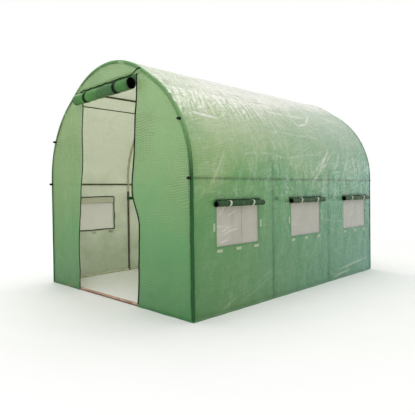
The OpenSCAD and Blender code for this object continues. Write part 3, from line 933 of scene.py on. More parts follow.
# Twisted polyester thread: dark green dashes with a slight gloss.
thread = weave("dark polyester thread", "#2f5530", "#1d3a20", 0.5)
tapes = (binding_tape, header_tape, seam_tape, edge_tape, webbing, pale_tape, patch_tape, facing_tape, thread)
print("weaves", [m.name for m in tapes])

# %% [markdown]
# ## Ribbons
#
# A strap or tape is a thin flat band that follows a path. Sweeping a rectangle along the path gives it
# a true thickness and closed ends, which a bare plane would lack when seen edge on.

# %% Ribbon helpers
TAPE_THICK = 1.5 * MM


def ribbon(name, path, across, width, thick, material):
    """A band along path: its width lies in the direction across, its thickness square to both."""
    path = np.asarray(path, float)
    across = np.broadcast_to(np.asarray(across, float), path.shape)
    out = np.cross(np.gradient(path, axis=0), across)
    out /= np.linalg.norm(out, axis=1, keepdims=True)
    corners = [(-1, -1), (1, -1), (1, 1), (-1, 1)]
    loops = np.stack([path + a * width / 2 * across + b * thick / 2 * out for a, b in corners], axis=1)
    count = len(path)
    faces = [
        (4 * i + k, 4 * i + (k + 1) % 4, 4 * i + 4 + (k + 1) % 4, 4 * i + 4 + k)
        for i in range(count - 1)
        for k in range(4)
    ]
    faces += [(3, 2, 1, 0), tuple(4 * (count - 1) + k for k in range(4))]
    return put(name, loops.reshape(-1, 3), faces, material, smooth=False)


def merged(name, pieces):
    """Several meshes as one piece that keeps their materials."""
    points, faces, slots, materials = [], [], [], []
    for piece in pieces:
        start = len(points)
        points += [v.co[:] for v in piece.data.vertices]
        if piece.data.materials[0] not in materials:
            materials.append(piece.data.materials[0])
        for face in piece.data.polygons:
            faces.append([start + v for v in face.vertices])
            slots.append((materials.index(piece.data.materials[0]), face.use_smooth))
        bpy.data.objects.remove(piece)
    whole = put(name, points, faces, None)
    for material in materials:
        whole.data.materials.append(material)
    whole.data.polygons.foreach_set("material_index", [s for s, _ in slots])
    whole.data.polygons.foreach_set("use_smooth", [s for _, s in slots])
    return whole


print("tapes are", TAPE_THICK, "m thick")

# %% [markdown]
# ## Stitches and fastener teeth
#
# Seams carry rows of thread, and the door's edges carry the teeth of a slide fastener. Both are one
# small form repeated along a path, which is what Geometry Nodes are for: the tree takes a line, sets
# points on it at a pitch, puts a small rounded form on each one along the line, and makes it real.

# %% Geometry Nodes tree for rows of small forms


def row_tree():
    """A tree that sets small rounded forms along lines."""
    tree = bpy.data.node_groups.new("row along a line", "GeometryNodeTree")
    face = tree.interface
    face.new_socket("Line", in_out="INPUT", socket_type="NodeSocketGeometry")
    for label, value in (("Pitch", 0.01), ("Length", 0.006), ("Width", 0.001), ("Height", 0.001)):
        face.new_socket(label, in_out="INPUT", socket_type="NodeSocketFloat").default_value = value
    face.new_socket("Finish", in_out="INPUT", socket_type="NodeSocketMaterial")
    face.new_socket("Row", in_out="OUTPUT", socket_type="NodeSocketGeometry")
    given = add(tree, "NodeGroupInput", out=None).outputs
    line = add(tree, "GeometryNodeMeshToCurve", {"Mesh": given["Line"]})
    spots = {"Curve": line, "Length": given["Pitch"]}
    spots = add(tree, "GeometryNodeResampleCurve", spots, mode="LENGTH")
    tangent = add(tree, "GeometryNodeInputTangent")
    turned = add(tree, "FunctionNodeAlignRotationToVector", {"Vector": tangent}, axis="X")
    form = add(tree, "GeometryNodeMeshIcoSphere", {"Radius": 0.5, "Subdivisions": 1})
    size = add(tree, "ShaderNodeCombineXYZ", [given[label] for label in ("Length", "Width", "Height")])
    forms = {"Points": spots, "Instance": form, "Rotation": turned, "Scale": size}
    forms = add(tree, "GeometryNodeInstanceOnPoints", forms)
    real = add(tree, "GeometryNodeRealizeInstances", [forms])
    soft = add(tree, "GeometryNodeSetShadeSmooth", {"Geometry": real})
    done = add(tree, "GeometryNodeSetMaterial", {"Geometry": soft, "Material": given["Finish"]})
    add(tree, "NodeGroupOutput", [done], out=None)
    return tree


row_along = row_tree()


def row(name, lines, material, **sizes):
    """Small forms along one or more lines, as a plain mesh piece."""
    points, edges = [], []
    for line in lines:
        start = len(points)
        points += [tuple(p) for p in line]
        edges += [(start + i, start + i + 1) for i in range(len(line) - 1)]
    guide = bpy.data.meshes.new(name + "_guide")
    guide.from_pydata(points, edges, [])
    holder = bpy.data.objects.new(name + "_guide", guide)
    bpy.context.scene.collection.objects.link(holder)
    modifier = holder.modifiers.new("row", "NODES")
    modifier.node_group = row_along
    values = {**sizes, "Finish": material}
    for item in row_along.interface.items_tree:
        if item.in_out == "INPUT" and item.name in values:
            modifier[item.identifier] = values[item.name]
    evaluated = holder.evaluated_get(bpy.context.evaluated_depsgraph_get())
    mesh = bpy.data.meshes.new_from_object(evaluated)
    bpy.data.objects.remove(holder)
    mesh.name = name
    piece = bpy.data.objects.new(name, mesh)
    bpy.context.scene.collection.objects.link(piece)
    return piece


print("row tree with", len(row_along.nodes), "nodes")

# %% [markdown]
# ## Arch bindings
#
# A folded tape binds the edge where the end panels meet the tunnel sheet. It turns the corner with a
# small round, so its section is an L with a soft corner, swept over the whole arch. A shallow pucker
# along the tape is what sewing does to it.

# %% Bindings round both ends
BIND_FACE = 21 * MM
BIND_SIDE = 14 * MM
BIND_LIFT = 12 * MM
BIND_ROUND = 5 * MM
BIND_OUT = 1.2 * MM
BIND_PROUD = 0.6 * MM
BIND_THICK = 1 * MM
BIND_METRES = 8 * MM
PUCKER, PUCKER_PITCH = 0.8 * MM, 50 * MM


def binding(name, y_edge, outward):
    """A folded tape round one end of the arch; outward is the way the end faces."""
    d = np.linspace(-ground_at + BIND_LIFT, ground_at - BIND_LIFT, 560)
    corner = BIND_OUT - BIND_ROUND
    section = [(-BIND_FACE, BIND_OUT)]
    section += [
        (corner + BIND_ROUND * math.sin(turn), corner + BIND_ROUND * math.cos(turn))
        for turn in np.linspace(0, np.pi / 2, 5)
    ]
    section += [(BIND_OUT, -BIND_SIDE)]
    last = len(section) - 1
    pucker = PUCKER * np.sin(2 * np.pi * d / PUCKER_PITCH) + ripple(d, 0 * d, 6, (0.1, 0.4), 1.2 * MM)
    loops = []
    for k, (lift, proud) in enumerate(section):
        x, z = arch(d, lift + (pucker if k == 0 else 0))
        y = y_edge + outward * (proud + BIND_PROUD) - outward * (pucker if k == last else 0 * d)
        loops.append(np.stack([x, y, z], axis=-1))
    metres = np.stack(np.meshgrid(d, np.arange(len(section)) * BIND_METRES, indexing="ij"), axis=-1)
    tape = sheet(name, np.stack(loops, axis=1), metres, binding_tape, flip=outward < 0)
    solid = tape.modifiers.new("thickness", "SOLIDIFY")
    solid.thickness = BIND_THICK
    solid.offset = 1.0
    return tape


front_binding = binding("front_binding_tape", front_y, -1)
rear_binding = binding("rear_binding_tape", rear_y, 1)
for piece, node in ((front_binding, "front_binding"), (rear_binding, "rear_binding")):
    dress(piece, node)
print("bindings", len(front_binding.data.polygons), "faces each")

# %% Stitches beside the bindings and tapes under the roof seams
STITCH = dict(Pitch=12 * MM, Length=10 * MM, Width=4 * MM, Height=2 * MM)
STITCH_IN = 27 * MM
STITCH_PROUD = 2.6 * MM
STITCH_LIFT = 100 * MM
ROOF_TAPE, ROOF_TAPE_THICK = 10 * MM, 1 * MM
ROOF_TAPE_UNDER = 2.5 * MM
ROOF_TAPE_SHORT = 50 * MM
stitch_d = np.linspace(-ground_at + STITCH_LIFT, ground_at - STITCH_LIFT, 500)
stitch_x, stitch_z = arch(stitch_d, -STITCH_IN)
seam_rows = [
    np.stack([stitch_x, np.full_like(stitch_x, y), stitch_z], axis=-1)
    for y in (front_y - STITCH_PROUD, rear_y + STITCH_PROUD)
]
seam_stitches = row("binding_stitches", seam_rows, thread, **STITCH)
dress(seam_stitches)
roof_y = np.linspace(front_y + ROOF_TAPE_SHORT, rear_y - ROOF_TAPE_SHORT, 200)
roof_seams = []
for side in (-1, 1):
    at = np.full_like(roof_y, side * (seam_at - SEAM_LAP / 2))
    rims = []
    for off in (-ROOF_TAPE / 2, ROOF_TAPE / 2):
        x, z = arch(at + off, -COVER_IN + hang(at, roof_y) - ROOF_TAPE_UNDER)
        rims.append(np.stack([x, roof_y, z], axis=-1))
    across = (rims[1] - rims[0]) / ROOF_TAPE
    path = (rims[0] + rims[1]) / 2
    roof_seams.append(ribbon(f"seam_{side}", path, across, ROOF_TAPE, ROOF_TAPE_THICK, seam_tape))
roof_tapes = merged("roof_seam_tapes", roof_seams)
dress(roof_tapes)
print("stitches", len(seam_stitches.data.polygons), "faces")

# %% [markdown]
# ## Door edges and header
#
# The doorway's free edges carry the tape and teeth of a slide fastener, a thin near-black line in the
# photograph. The tape follows the same slack line as the panel, so nothing gapes. Over the doorway a
# pale tape covers the seam from which the rolled door hangs, and a narrow dark edging wavers along it
# and rises at its right end.

# %% Door tapes and teeth
DOOR_TAPE = 14 * MM
DOOR_TAPE_IN = 2 * MM
DOOR_TAPE_PROUD = 1.4 * MM
DOOR_TAPE_LIFT = 10 * MM
TEETH = dict(Pitch=8 * MM, Length=4 * MM, Width=3 * MM, Height=3 * MM)
TEETH_OUT = 2.5 * MM
edge_tapes, teeth_lines = [], []
for side, edge in ((1, right_edge), (-1, left_edge)):
    path = edge[::2] + np.array([side * (DOOR_TAPE / 2 - DOOR_TAPE_IN), -DOOR_TAPE_PROUD, 0.0])
    path = path[path[:, 2] > DOOR_TAPE_LIFT]
    edge_tapes.append(ribbon(f"tape_{side}", path, (1, 0, 0), DOOR_TAPE, TAPE_THICK, edge_tape))
    teeth_lines.append(edge[2:-3] + np.array([-side * TEETH_OUT, -DOOR_TAPE_PROUD, 0.0]))
door_tapes = merged("door_edge_tapes", edge_tapes)
dress(door_tapes, "door_zips")
teeth = row("door_fastener_teeth", teeth_lines, edge_tape, **TEETH)
dress(teeth)
print("door tapes", len(door_tapes.data.polygons), "teeth", len(teeth.data.polygons))

# %% Header tape and its edging
HEADER_TAPE, HEADER_SHORT, HEADER_PROUD = 26 * MM, 12 * MM, 3 * MM
HEADER_DROP = 11 * MM
EDGING, EDGING_THICK, EDGING_PROUD = 11 * MM, 2 * MM, 5 * MM
EDGING_DROP, EDGING_RISE = 20 * MM, 34 * MM
header_x = np.linspace(-top_reach + HEADER_SHORT, top_reach - HEADER_SHORT, 90)
header_wave = header_z - HEADER_DROP + ripple(header_x, 0 * header_x, 5, (0.15, 0.5), 2.5 * MM)
header_path = np.stack([header_x, np.full_like(header_x, front_y - HEADER_PROUD), header_wave], axis=-1)
header = ribbon("door_header_tape", header_path, (0, 0, 1), HEADER_TAPE, TAPE_THICK, header_tape)
dress(header, "door_header")
edging_x = np.linspace(-top_reach + 60 * MM, top_reach - 14 * MM, 90)
edging_rise = EDGING_RISE * blur_step(edging_x, top_reach - 130 * MM, top_reach - 30 * MM)
edging_z = header_z - EDGING_DROP + edging_rise + ripple(edging_x, 0 * edging_x, 5, (0.1, 0.3), 3 * MM)
edging_path = np.stack([edging_x, np.full_like(edging_x, front_y - EDGING_PROUD), edging_z], axis=-1)
edging = ribbon("door_header_edging", edging_path, (0, 0, 1), EDGING, EDGING_THICK, seam_tape)
dress(edging)
print("header tape", round(2 * top_reach, 3), "m long")

# %% [markdown]
# ## Rolled door and window flaps
#
# Each flap is film rolled up from its free end to its seam and held by two straps. Rolling is a
# spiral: the radius falls by the roll's pitch with every turn, and its inner end is free. A roll is
# never even, so it swells between its straps and is pinched under them.

# %% Rolled film
# Greens of rolled film by height: dark low down and lighter up the door roll, as painted shade and painted
# light.
ROLL_SHADED_GREENS = [(0.0, "#163a14"), (1.0, "#1c481b"), (1.65, "#2b661e"), (1.85, "#458c30")]
# Many layers of the same film let little light through: dark and saturated, with painted shade black inside
# the roll.
ROLLED = dict(lines="#c4d2bd", gloss=0.35, through=0.03, glow="#5b7a49")
door_film = film("rolled door film", ROLL_SHADED_GREENS, dark_after=0.37, shine=0.45, **ROLLED)
flap_film = film("rolled flap film", ROLL_SHADED_GREENS, dark_after=0.19, shine=0.2, **ROLLED)
print("rolled films", [m.name for m in (door_film, flap_film)])

# %% Roll and strap helpers
RIM_SHADE = 16 * MM
ROLL_STEP = 14 * MM
TURN_STEPS = 26
LUMP = 0.06
PINCH = 30 * MM
STRAP_TURN = 1.7949 * np.pi
STRAP_THICK = 1.6 * MM


def roll(name, centre, outer, pitch, turns, length, rise, straps, along, away, material):
    """Film rolled about a line through centre: along is the line's way, away points off the wall."""
    place = np.linspace(-length / 2, length / 2, round(length / ROLL_STEP) + 1)
    t, p = np.meshgrid(np.linspace(0, turns, round(turns * TURN_STEPS) + 1), place, indexing="ij")
    pinch = np.sum([bell(p - s, PINCH) for s in straps], axis=0)
    lump = LUMP * outer
    radius = outer - pitch * t - lump * (0.5 + pinch) + lump * 0.5 * np.sin(p * 41 + 5 * t)
    radius = radius + ripple(t * 0.2, p, 8, (0.05, 0.2), 0.02 * outer)
    wall = -radius * np.cos(2 * np.pi * t)
    up = -radius * np.sin(2 * np.pi * t)
    drop, q = np.meshgrid(np.linspace(rise, 0, 5)[:-1], place, indexing="ij")
    wall = np.concatenate([np.repeat(wall[:1], len(drop), axis=0), wall])
    up = np.concatenate([drop, up])
    p = np.concatenate([q, p])
    along, away = np.asarray(along, float), np.asarray(away, float)
    points = np.asarray(centre) + p[..., None] * along + wall[..., None] * away
    points[..., 2] += up
    steps = np.linalg.norm(np.diff(points, axis=0), axis=-1).mean(axis=1)
    run = np.concatenate([[0], np.cumsum(steps)])
    metres = np.stack([p, np.repeat(run[:, None], p.shape[1], axis=1)], axis=-1)
    # Painted shade darkens both rims of the roll.
    rim = bell(length / 2 - np.abs(p), RIM_SHADE)
    return sheet(name, points, metres, material, flip=True, press=rim), run[-1]


def strap(name, centre, outer, rise, width, material, along, away, tilt):
    """A strap that comes down behind a roll, passes under it and closes over its top."""
    turn = np.linspace(0, STRAP_TURN, 44)
    wall = np.concatenate([np.full(4, -outer), -outer * np.cos(turn)])
    up = np.concatenate([np.linspace(rise, 10 * MM, 4), -outer * np.sin(turn)])
    along, away = np.asarray(along, float), np.asarray(away, float)
    path = np.asarray(centre) + wall[:, None] * away + tilt * up[:, None] * along
    path[:, 2] += up
    return ribbon(name, path, along, width, STRAP_THICK, material)


print("straps", STRAP_THICK, "m thick")

# %% [markdown]
# ### The door
#
# The door flap is as wide as the doorway and tall enough to reach the ground, so it makes a thick roll.
# The end of the roll is open and dark, because its turns shade each other.

# %% Door roll and its straps
roll_low, roll_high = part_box("door_roll")
door_r = 50 * MM
door_centre = (0.0, roll_low.y + door_r, roll_low.z + door_r)
door_length = roll_high.x - roll_low.x
door_rise = roll_high.z - door_centre[2]
door_ways = dict(along=(1, 0, 0), away=(0, -1, 0))
DOOR_PITCH, DOOR_TURNS = 4 * MM, 10.4
DOOR_STRAP = 30 * MM
DOOR_STRAP_IN = 1.5 * MM
# Each strap's place along the roll, and how far it leans.
DOOR_STRAPS = {-220 * MM: 0.3, 218 * MM: 0.0}
door_flap, door_run = roll(
    "door_flap",
    door_centre,
    door_r,
    DOOR_PITCH,
    DOOR_TURNS,
    door_length,
    door_rise,
    DOOR_STRAPS,
    material=door_film,
    **door_ways,
)
dress(door_flap, "door_roll")
door_bands = []
for i, (x, lean) in enumerate(DOOR_STRAPS.items()):
    at = (x, *door_centre[1:])
    strap_r = door_r - DOOR_STRAP_IN
    door_bands.append(strap(f"band_{i}", at, strap_r, door_rise, DOOR_STRAP, webbing, tilt=lean, **door_ways))
door_straps = merged("door_roll_straps", door_bands)
dress(door_straps, "door_straps")
print("door flap is", round(door_length, 3), "by", round(door_run, 3), "m of film")

# %% [markdown]
# ### The windows
#
# Behind each opening is a fine insect net, sewn in from inside under dark hem tapes, with a pale facing
# along its top. The net is far too fine to model as thread, so it is a sheet with a see-through weave.
# The flap that closes the window is rolled above it, on the outside, and pale hook-and-loop patches
# round the opening wait for it.

# %% Net material
NET_THREAD = 3 * MM
NET_PATCH = 143 * MM


def net_cloth(name):
    """Fine insect net: pale thread with holes between, drawn coarser than real."""
    material, tree = blank_material(name)
    metres = add(tree, "ShaderNodeUVMap", uv_map="metres")
    flat = add(tree, "ShaderNodeSeparateXYZ", [metres], out=None).outputs
    ways = []
    for way in (0, 1):
        cells = add(tree, "ShaderNodeMath", [flat[way], 1 / NET_THREAD], operation="MULTIPLY")
        near = add(tree, "ShaderNodeMath", [cells, 0.5], operation="PINGPONG")
        ways.append(add(tree, "ShaderNodeMapRange", [near, 0.1, 0.25, 1.0, 0.0]))
    woven = add(tree, "ShaderNodeMath", ways, operation="MAXIMUM")
    cover = add(tree, "ShaderNodeMapRange", [woven, 0.0, 1.0, 0.72, 0.97])
    place = add(tree, "ShaderNodeTexCoord", out="Object")
    x, y, _ = add(tree, "ShaderNodeSeparateXYZ", [place], out=None).outputs
    patchy = add(tree, "ShaderNodeTexNoise", {"Vector": place, "Scale": 1 / NET_PATCH, "Detail": 2.0})
    rearward = add(tree, "ShaderNodeMapRange", [y, -0.7, 1.4, 0.0, 0.6])
    leftward = add(tree, "ShaderNodeMapRange", [x, 0.5, -0.5, 0.0, 1.0])
    crease = add(tree, "ShaderNodeAttribute", out="Fac", attribute_name="bloom")
    joined = add(tree, "ShaderNodeAttribute", out="Fac", attribute_name="press")
    tint = linear("#b4afa4")
    for amount, colour in (
        (patchy, "#cfcac4"),
        (rearward, "#d2d5da"),
        (leftward, "#c9c9b2"),
        (crease, "#e9e4da"),
        (joined, "#5e6355"),
    ):
        layer = {0: amount, 6: tint, 7: linear(colour)}
        tint = add(tree, "ShaderNodeMix", layer, out=2, data_type="RGBA")
    face = add(tree, "ShaderNodeBsdfPrincipled", {"Base Color": tint, "Roughness": 0.7})
    through = add(tree, "ShaderNodeBsdfTranslucent", {"Color": linear("#c6c3b2")})
    body = add(tree, "ShaderNodeMixShader", [0.25, face, through])
    bare = add(tree, "ShaderNodeBsdfTransparent")
    whole = add(tree, "ShaderNodeMixShader", [cover, bare, body])
    add(tree, "ShaderNodeOutputMaterial", [whole], out=None)
    return material


# Woven polyethylene thread: a pale matt veil that dims what is behind it.
net = net_cloth("woven insect net")
print("net drawn with a thread every", NET_THREAD, "m")

# %% Hems and facing of a net
NET_OVER = 15 * MM
NET_BACK = 5 * MM
HEM_TAPE, HEM_THICK, HEM_BACK = 11 * MM, 1.2 * MM, 5 * MM
HEM_POINTS = 14
FACING, FACING_OUT = 60 * MM, 1.5 * MM
net_reach = window_wide / 2 + NET_OVER


def net_hems(side, number, y):
    """Dark tapes round a net, sewn from inside, and the pale facing along its top."""
    hem_x = side * (half_width - COVER_IN - NET_BACK - HEM_BACK)
    low, high = window_sill, window_top + NET_OVER
    steps = np.linspace(0, 1, HEM_POINTS)
    level = [(-net_reach, at, net_reach, at) for at in (low, high)]
    upright = [(at, low, at, high) for at in (-net_reach, net_reach)]
    hems = []
    for k, (y0, z0, y1, z1) in enumerate(level + upright):
        stands = k > 1
        waver = ripple(steps, 0 * steps + number + k, 4, (0.2, 0.6), 3 * MM)
        run_y = y + y0 + steps * (y1 - y0) + waver * stands
        run_z = z0 + steps * (z1 - z0) + waver * (not stands)
        path = np.stack([np.full(HEM_POINTS, hem_x), run_y, run_z], axis=-1)
        across = (0, stands, not stands)
        hems.append(ribbon(f"hem_{number}_{k}", path, across, HEM_TAPE, HEM_THICK, seam_tape))
    face_x, face_z = hem_x + side * FACING_OUT, high - FACING / 2
    path = [(face_x, y + k * net_reach, face_z) for k in np.linspace(-1, 1, 10)]
    hems.append(ribbon(f"facing_{number}", path, (0, 0, 1), FACING, HEM_THICK, facing_tape))
    return hems


print("hems of", HEM_TAPE, "m, facing of", FACING, "m")

# %% Nets
NET_BULGE = 3 * MM
# Creases of the first net and dark joins of two nets on the near wall: start and end, as shares of the
# opening's height from its top and of its width from its middle. A join also has its darkness.
NET_CREASES = [
    (0.02, -0.22, 0.4, -0.47),
    (0.7, -0.44, 0.55, 0.02),
    (0.77, -0.42, 0.63, 0.02),
    (0.69, -0.38, 0.66, 0.03),
    (0.36, -0.26, 0.25, -0.05),
    (0.93, -0.45, 0.87, -0.22),
]
NET_JOINS = {1: (0.0, 0.09, 1.0, 0.09, 0.6), 3: (0.1, 0.2, 0.95, -0.14, 0.45)}
CREASE_WIDE, CREASE_PALE = 5 * MM, 0.9
JOIN_WIDE = 4 * MM


def in_opening(y, a, b, c, e):
    """Start and end of a line in the opening at y, from shares of its height and width."""
    start = (window_top - a * window_high, y + b * window_wide)
    end = (window_top - c * window_high, y + e * window_wide)
    return start + end


def window_net(name, side, number, y):
    """The net behind one opening, with its creases and joins."""
    z = np.linspace(window_sill - NET_OVER, window_top + NET_OVER, 96)
    high, rows = np.meshgrid(z, y + np.linspace(-1, 1, 120) * net_reach, indexing="ij")
    slack = ripple(rows, high, 10, (0.12, 0.4), 1.2 * MM)
    bulge = np.minimum(hang(side * (ground_at - high), rows, slack), NET_BULGE)
    x = side * (half_width - COVER_IN - NET_BACK + bulge)
    pulled = scattered(
        4,
        (window_sill, (window_sill + window_top) / 2),
        (y - window_wide / 2, y + 50 * MM),
        lean=1.3,
        spread=0.25,
        lengths=(0.1, 0.3),
        widths=(5 * MM, 8 * MM),
        heights=(0.3, 0.7),
    )
    joins = []
    if side > 0 and number == 1:
        pulled += [(*in_opening(y, *crease), CREASE_WIDE, CREASE_PALE) for crease in NET_CREASES]
    if side > 0 and number in NET_JOINS:
        *line, dark = NET_JOINS[number]
        joins = [(*in_opening(y, *line), JOIN_WIDE, dark)]
    return sheet(
        name,
        np.stack([x, rows, high], axis=-1),
        np.stack([rows, high], axis=-1),
        net,
        flip=side < 0,
        bloom=np.clip(creases(high, rows, pulled), 0, 0.9),
        press=np.clip(creases(high, rows, joins), 0, 1),
    )


print("nets of", round(2 * net_reach, 3), "m")

# %% Closing patches of a window
PATCH_LONG, PATCH_SHORT, PATCH_THICK = 60 * MM, 22 * MM, 1.6 * MM
PATCH_MARGIN = 22 * MM
PATCH_OUT = 2.5 * MM
PATCH_POINTS = 6


def closing_patches(side, number, y):
    """Patches below and beside an opening, laid on the slack film."""
    low = window_sill - PATCH_MARGIN - PATCH_SHORT / 2
    beside = window_wide / 2 + PATCH_MARGIN + PATCH_SHORT / 2
    middle = window_sill + window_high / 3 + PATCH_LONG / 2
    spots = [(k * (window_wide - PATCH_LONG) / 2, low, PATCH_LONG, PATCH_SHORT) for k in (-1, 0, 1)]
    spots += [(k * beside, middle, PATCH_SHORT, PATCH_LONG) for k in (-1, 1)]
    patches = []
    for k, (off, z, long_y, long_z) in enumerate(spots):
        run_y = y + off + np.linspace(-0.5, 0.5, PATCH_POINTS) * long_y
        slack = hang(np.full(PATCH_POINTS, side * (ground_at - z)), run_y)
        face = side * (half_width - COVER_IN + slack + PATCH_OUT)
        path = np.stack([face, run_y, np.full(PATCH_POINTS, z)], axis=-1)
        patches.append(ribbon(f"patch_{number}_{k}", path, (0, 0, 1), long_z, PATCH_THICK, patch_tape))
    return patches


print("patches of", PATCH_LONG, "by", PATCH_SHORT, "m")

# %% Windows of both walls
FLAP_R = 24 * MM
FLAP_PITCH, FLAP_TURNS = 3.6 * MM, 4.5
FLAP_LENGTH = 590 * MM
FLAP_OFF = 2 * MM
FLAP_STRAPS = (-145 * MM, 145 * MM)
FLAP_STRAP, FLAP_STRAP_LEAN = 20 * MM, 0.35
flap_rise = 34 * MM
flap_z = window_top + 4 * MM - flap_rise
for side, hand in ((1, "right"), (-1, "left")):
    bands, patches, hems = [], [], []
    flap_ways = dict(along=(0, side, 0), away=(side, 0, 0))
    for number, y in enumerate(window_y, 1):
        hems += net_hems(side, number, y)
        panel = window_net(f"{hand}_net_{number}", side, number, y)
        dress(panel, f"{hand}_window_nets")
        centre = (side * (half_width + FLAP_OFF + FLAP_R), y, flap_z)
        flap, run = roll(
            f"{hand}_flap_{number}",
            centre,
            FLAP_R,
            FLAP_PITCH,
            FLAP_TURNS,
            FLAP_LENGTH,
            flap_rise,
            FLAP_STRAPS,
            material=flap_film,
            **flap_ways,
        )
        dress(flap, f"{hand}_window_rolls")
        for k, place in enumerate(FLAP_STRAPS):
            at = (centre[0], y + place, flap_z)
            held = dict(width=FLAP_STRAP, material=pale_tape, tilt=FLAP_STRAP_LEAN, **flap_ways)
            bands.append(strap(f"strap_{number}_{k}", at, FLAP_R, flap_rise, **held))
        patches += closing_patches(side, number, y)
    dress(merged(f"{hand}_net_hems", hems))
    dress(merged(f"{hand}_flap_straps", bands), f"{hand}_window_straps")
    dress(merged(f"{hand}_closing_patches", patches), f"{hand}_window_patches")
print("window flaps are", FLAP_LENGTH, "by", round(run, 3), "m of film")

# %% [markdown]
# ## Ties
#
# Inside, short tapes are sewn to the walls and tied round the inner hoops, so that wind can't lift the
# cover. Each is a ribbon that leaves the sheet, goes round the tube and comes back.

# %% Ties round the inner hoops
TIE, TIE_THICK = 34 * MM, 1.4 * MM
TIE_LONG, TIE_NEAR = 88 * MM, 14 * MM
TIE_IN = 0.8 * MM
tube_r = 12.5 * MM
leg_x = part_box("hoop_2_legs")[1].x - tube_r
loop_r = tube_r + TIE_THICK
round_leg = np.linspace(0.25 * np.pi, 1.75 * np.pi, 26)
tie_x = np.concatenate([np.full(5, leg_x + tube_r - TIE_IN), leg_x + loop_r * np.cos(round_leg)])
tie_y = np.concatenate([np.linspace(TIE_LONG, TIE_NEAR, 5), loop_r * np.sin(round_leg)])
for side, hand in ((1, "right"), (-1, "left")):
    bands = []
    for i in (1, 2):
        path = np.stack([side * tie_x, tie_y + hoop_y[i], np.full_like(tie_x, tie_z)], axis=-1)
        bands.append(ribbon(f"tie_{i}", path, (0, 0, 1), TIE, TIE_THICK, binding_tape))
    dress(merged(f"{hand}_cover_ties", bands), f"{hand}_ties")
print("ties at", round(tie_z, 3))

# %% [markdown]
# ## Steel tube and caps
#
# The frame is thin galvanised steel tube, dulled and browned by weather. The tubes are true solids from
# the frame, so they only need the finish: a satin metal whose zinc is mottled, with brown in patches.

# %% Tube and cap materials
MOTTLE = 40 * MM
PIT = 0.4 * MM
UNDER_SHADE_FULL, UNDER_SHADE_END = 7 * MM, 17 * MM


def tube_steel(name, clean, brown, under_shade=None):
    """Weathered galvanised tube: satin metal, mottled, with brown patches and maybe painted shade on its
    underside.
    """
    material, tree = blank_material(name)
    place = add(tree, "ShaderNodeTexCoord", out="Object")
    mottle = add(tree, "ShaderNodeTexNoise", {"Vector": place, "Scale": 1 / MOTTLE, "Detail": 5.0})
    patch = add(tree, "ShaderNodeMapRange", [mottle, 0.4, 0.65, 0.0, 1.0])
    layer = {0: patch, 6: linear(clean), 7: linear(brown)}
    colour = add(tree, "ShaderNodeMix", layer, out=2, data_type="RGBA")
    # Painted shade darkens the tube's underside.
    if under_shade:
        height = add(tree, "ShaderNodeSeparateXYZ", [place], out=2)
        shaded_under = add(tree, "ShaderNodeMapRange", [height, UNDER_SHADE_FULL, UNDER_SHADE_END, 0.85, 0.0])
        layer = {0: shaded_under, 6: colour, 7: linear(under_shade)}
        colour = add(tree, "ShaderNodeMix", layer, out=2, data_type="RGBA")
    rough = add(tree, "ShaderNodeMapRange", [mottle, 0.3, 0.7, 0.42, 0.62])
    pitted = add(tree, "ShaderNodeBump", {"Strength": 0.2, "Distance": PIT, "Height": mottle})
    metal = {"Base Color": colour, "Metallic": 0.45, "Roughness": rough, "Normal": pitted}
    metal = add(tree, "ShaderNodeBsdfPrincipled", metal)
    add(tree, "ShaderNodeOutputMaterial", [metal], out=None)
    return material


# Zinc on steel, in the cover's green light: a dull olive grey without sharp highlights.
frame_steel = tube_steel("weathered galvanised tube", "#6a684f", "#54513d")
# The bars across the ends are a pale reddish brown, with painted shade on their underside.
ground_steel = tube_steel("worn ground tube", "#c7a68c", "#a5806a", under_shade="#4a3428")
# The ground bars and the shoulders behind the film are painted pale: painted light, so that they show no
# shade against the film.
lit_pale_steel = tube_steel("pale ground tube", "#d0d3ba", "#b6b99b")
# Moulded polypropylene with a fine grain: a soft black dot with a faint sheen.
cap_plastic = weave("moulded black cap", "#20211e", "#121311", 0.5)
finishes = {"frame_tube": frame_steel, "ground_tube": ground_steel, "bolt_cap": cap_plastic}
slots = {part["node"]: part["material_slot"] for part in frame["record"]["subparts"]}
for node, thing in frame["nodes"].items():
    if slots[node] in finishes:
        # Bars and shoulders behind the film get the pale finish of painted light.
        behind = node in ("left_ground_bar", "right_ground_bar") or node.endswith("shoulders")
        thing.data.materials.clear()
        thing.data.materials.append(lit_pale_steel if behind else finishes[slots[node]])
print("frame nodes finished", sum(slots[n] in finishes for n in frame["nodes"]))

# %% [markdown]
# ## Floor, light and camera
#
# A pale floor and a white surround stand in for a studio. The light is even and soft, as on a dull day:
# the surround lights every side, and large lamps overhead and towards the viewer give the roof its
# brightness and the walls their form.

# %% Floor
WHITE = (1, 1, 1, 1)
FLOOR_HALF = 30.0
FLOOR_PATCH = 333 * MM
FADE_START, FADE_END = 2.2, 5.0


def seen_rays(tree):
    """1 for rays that see the surround as white: from the camera, in gloss or through clear film."""
    path = add(tree, "ShaderNodeLightPath", out=None).outputs
    seen = path["Is Camera Ray"]
    for kind in ("Is Glossy Ray", "Is Transmission Ray"):
        seen = add(tree, "ShaderNodeMath", [seen, path[kind]], operation="MAXIMUM")
    return seen


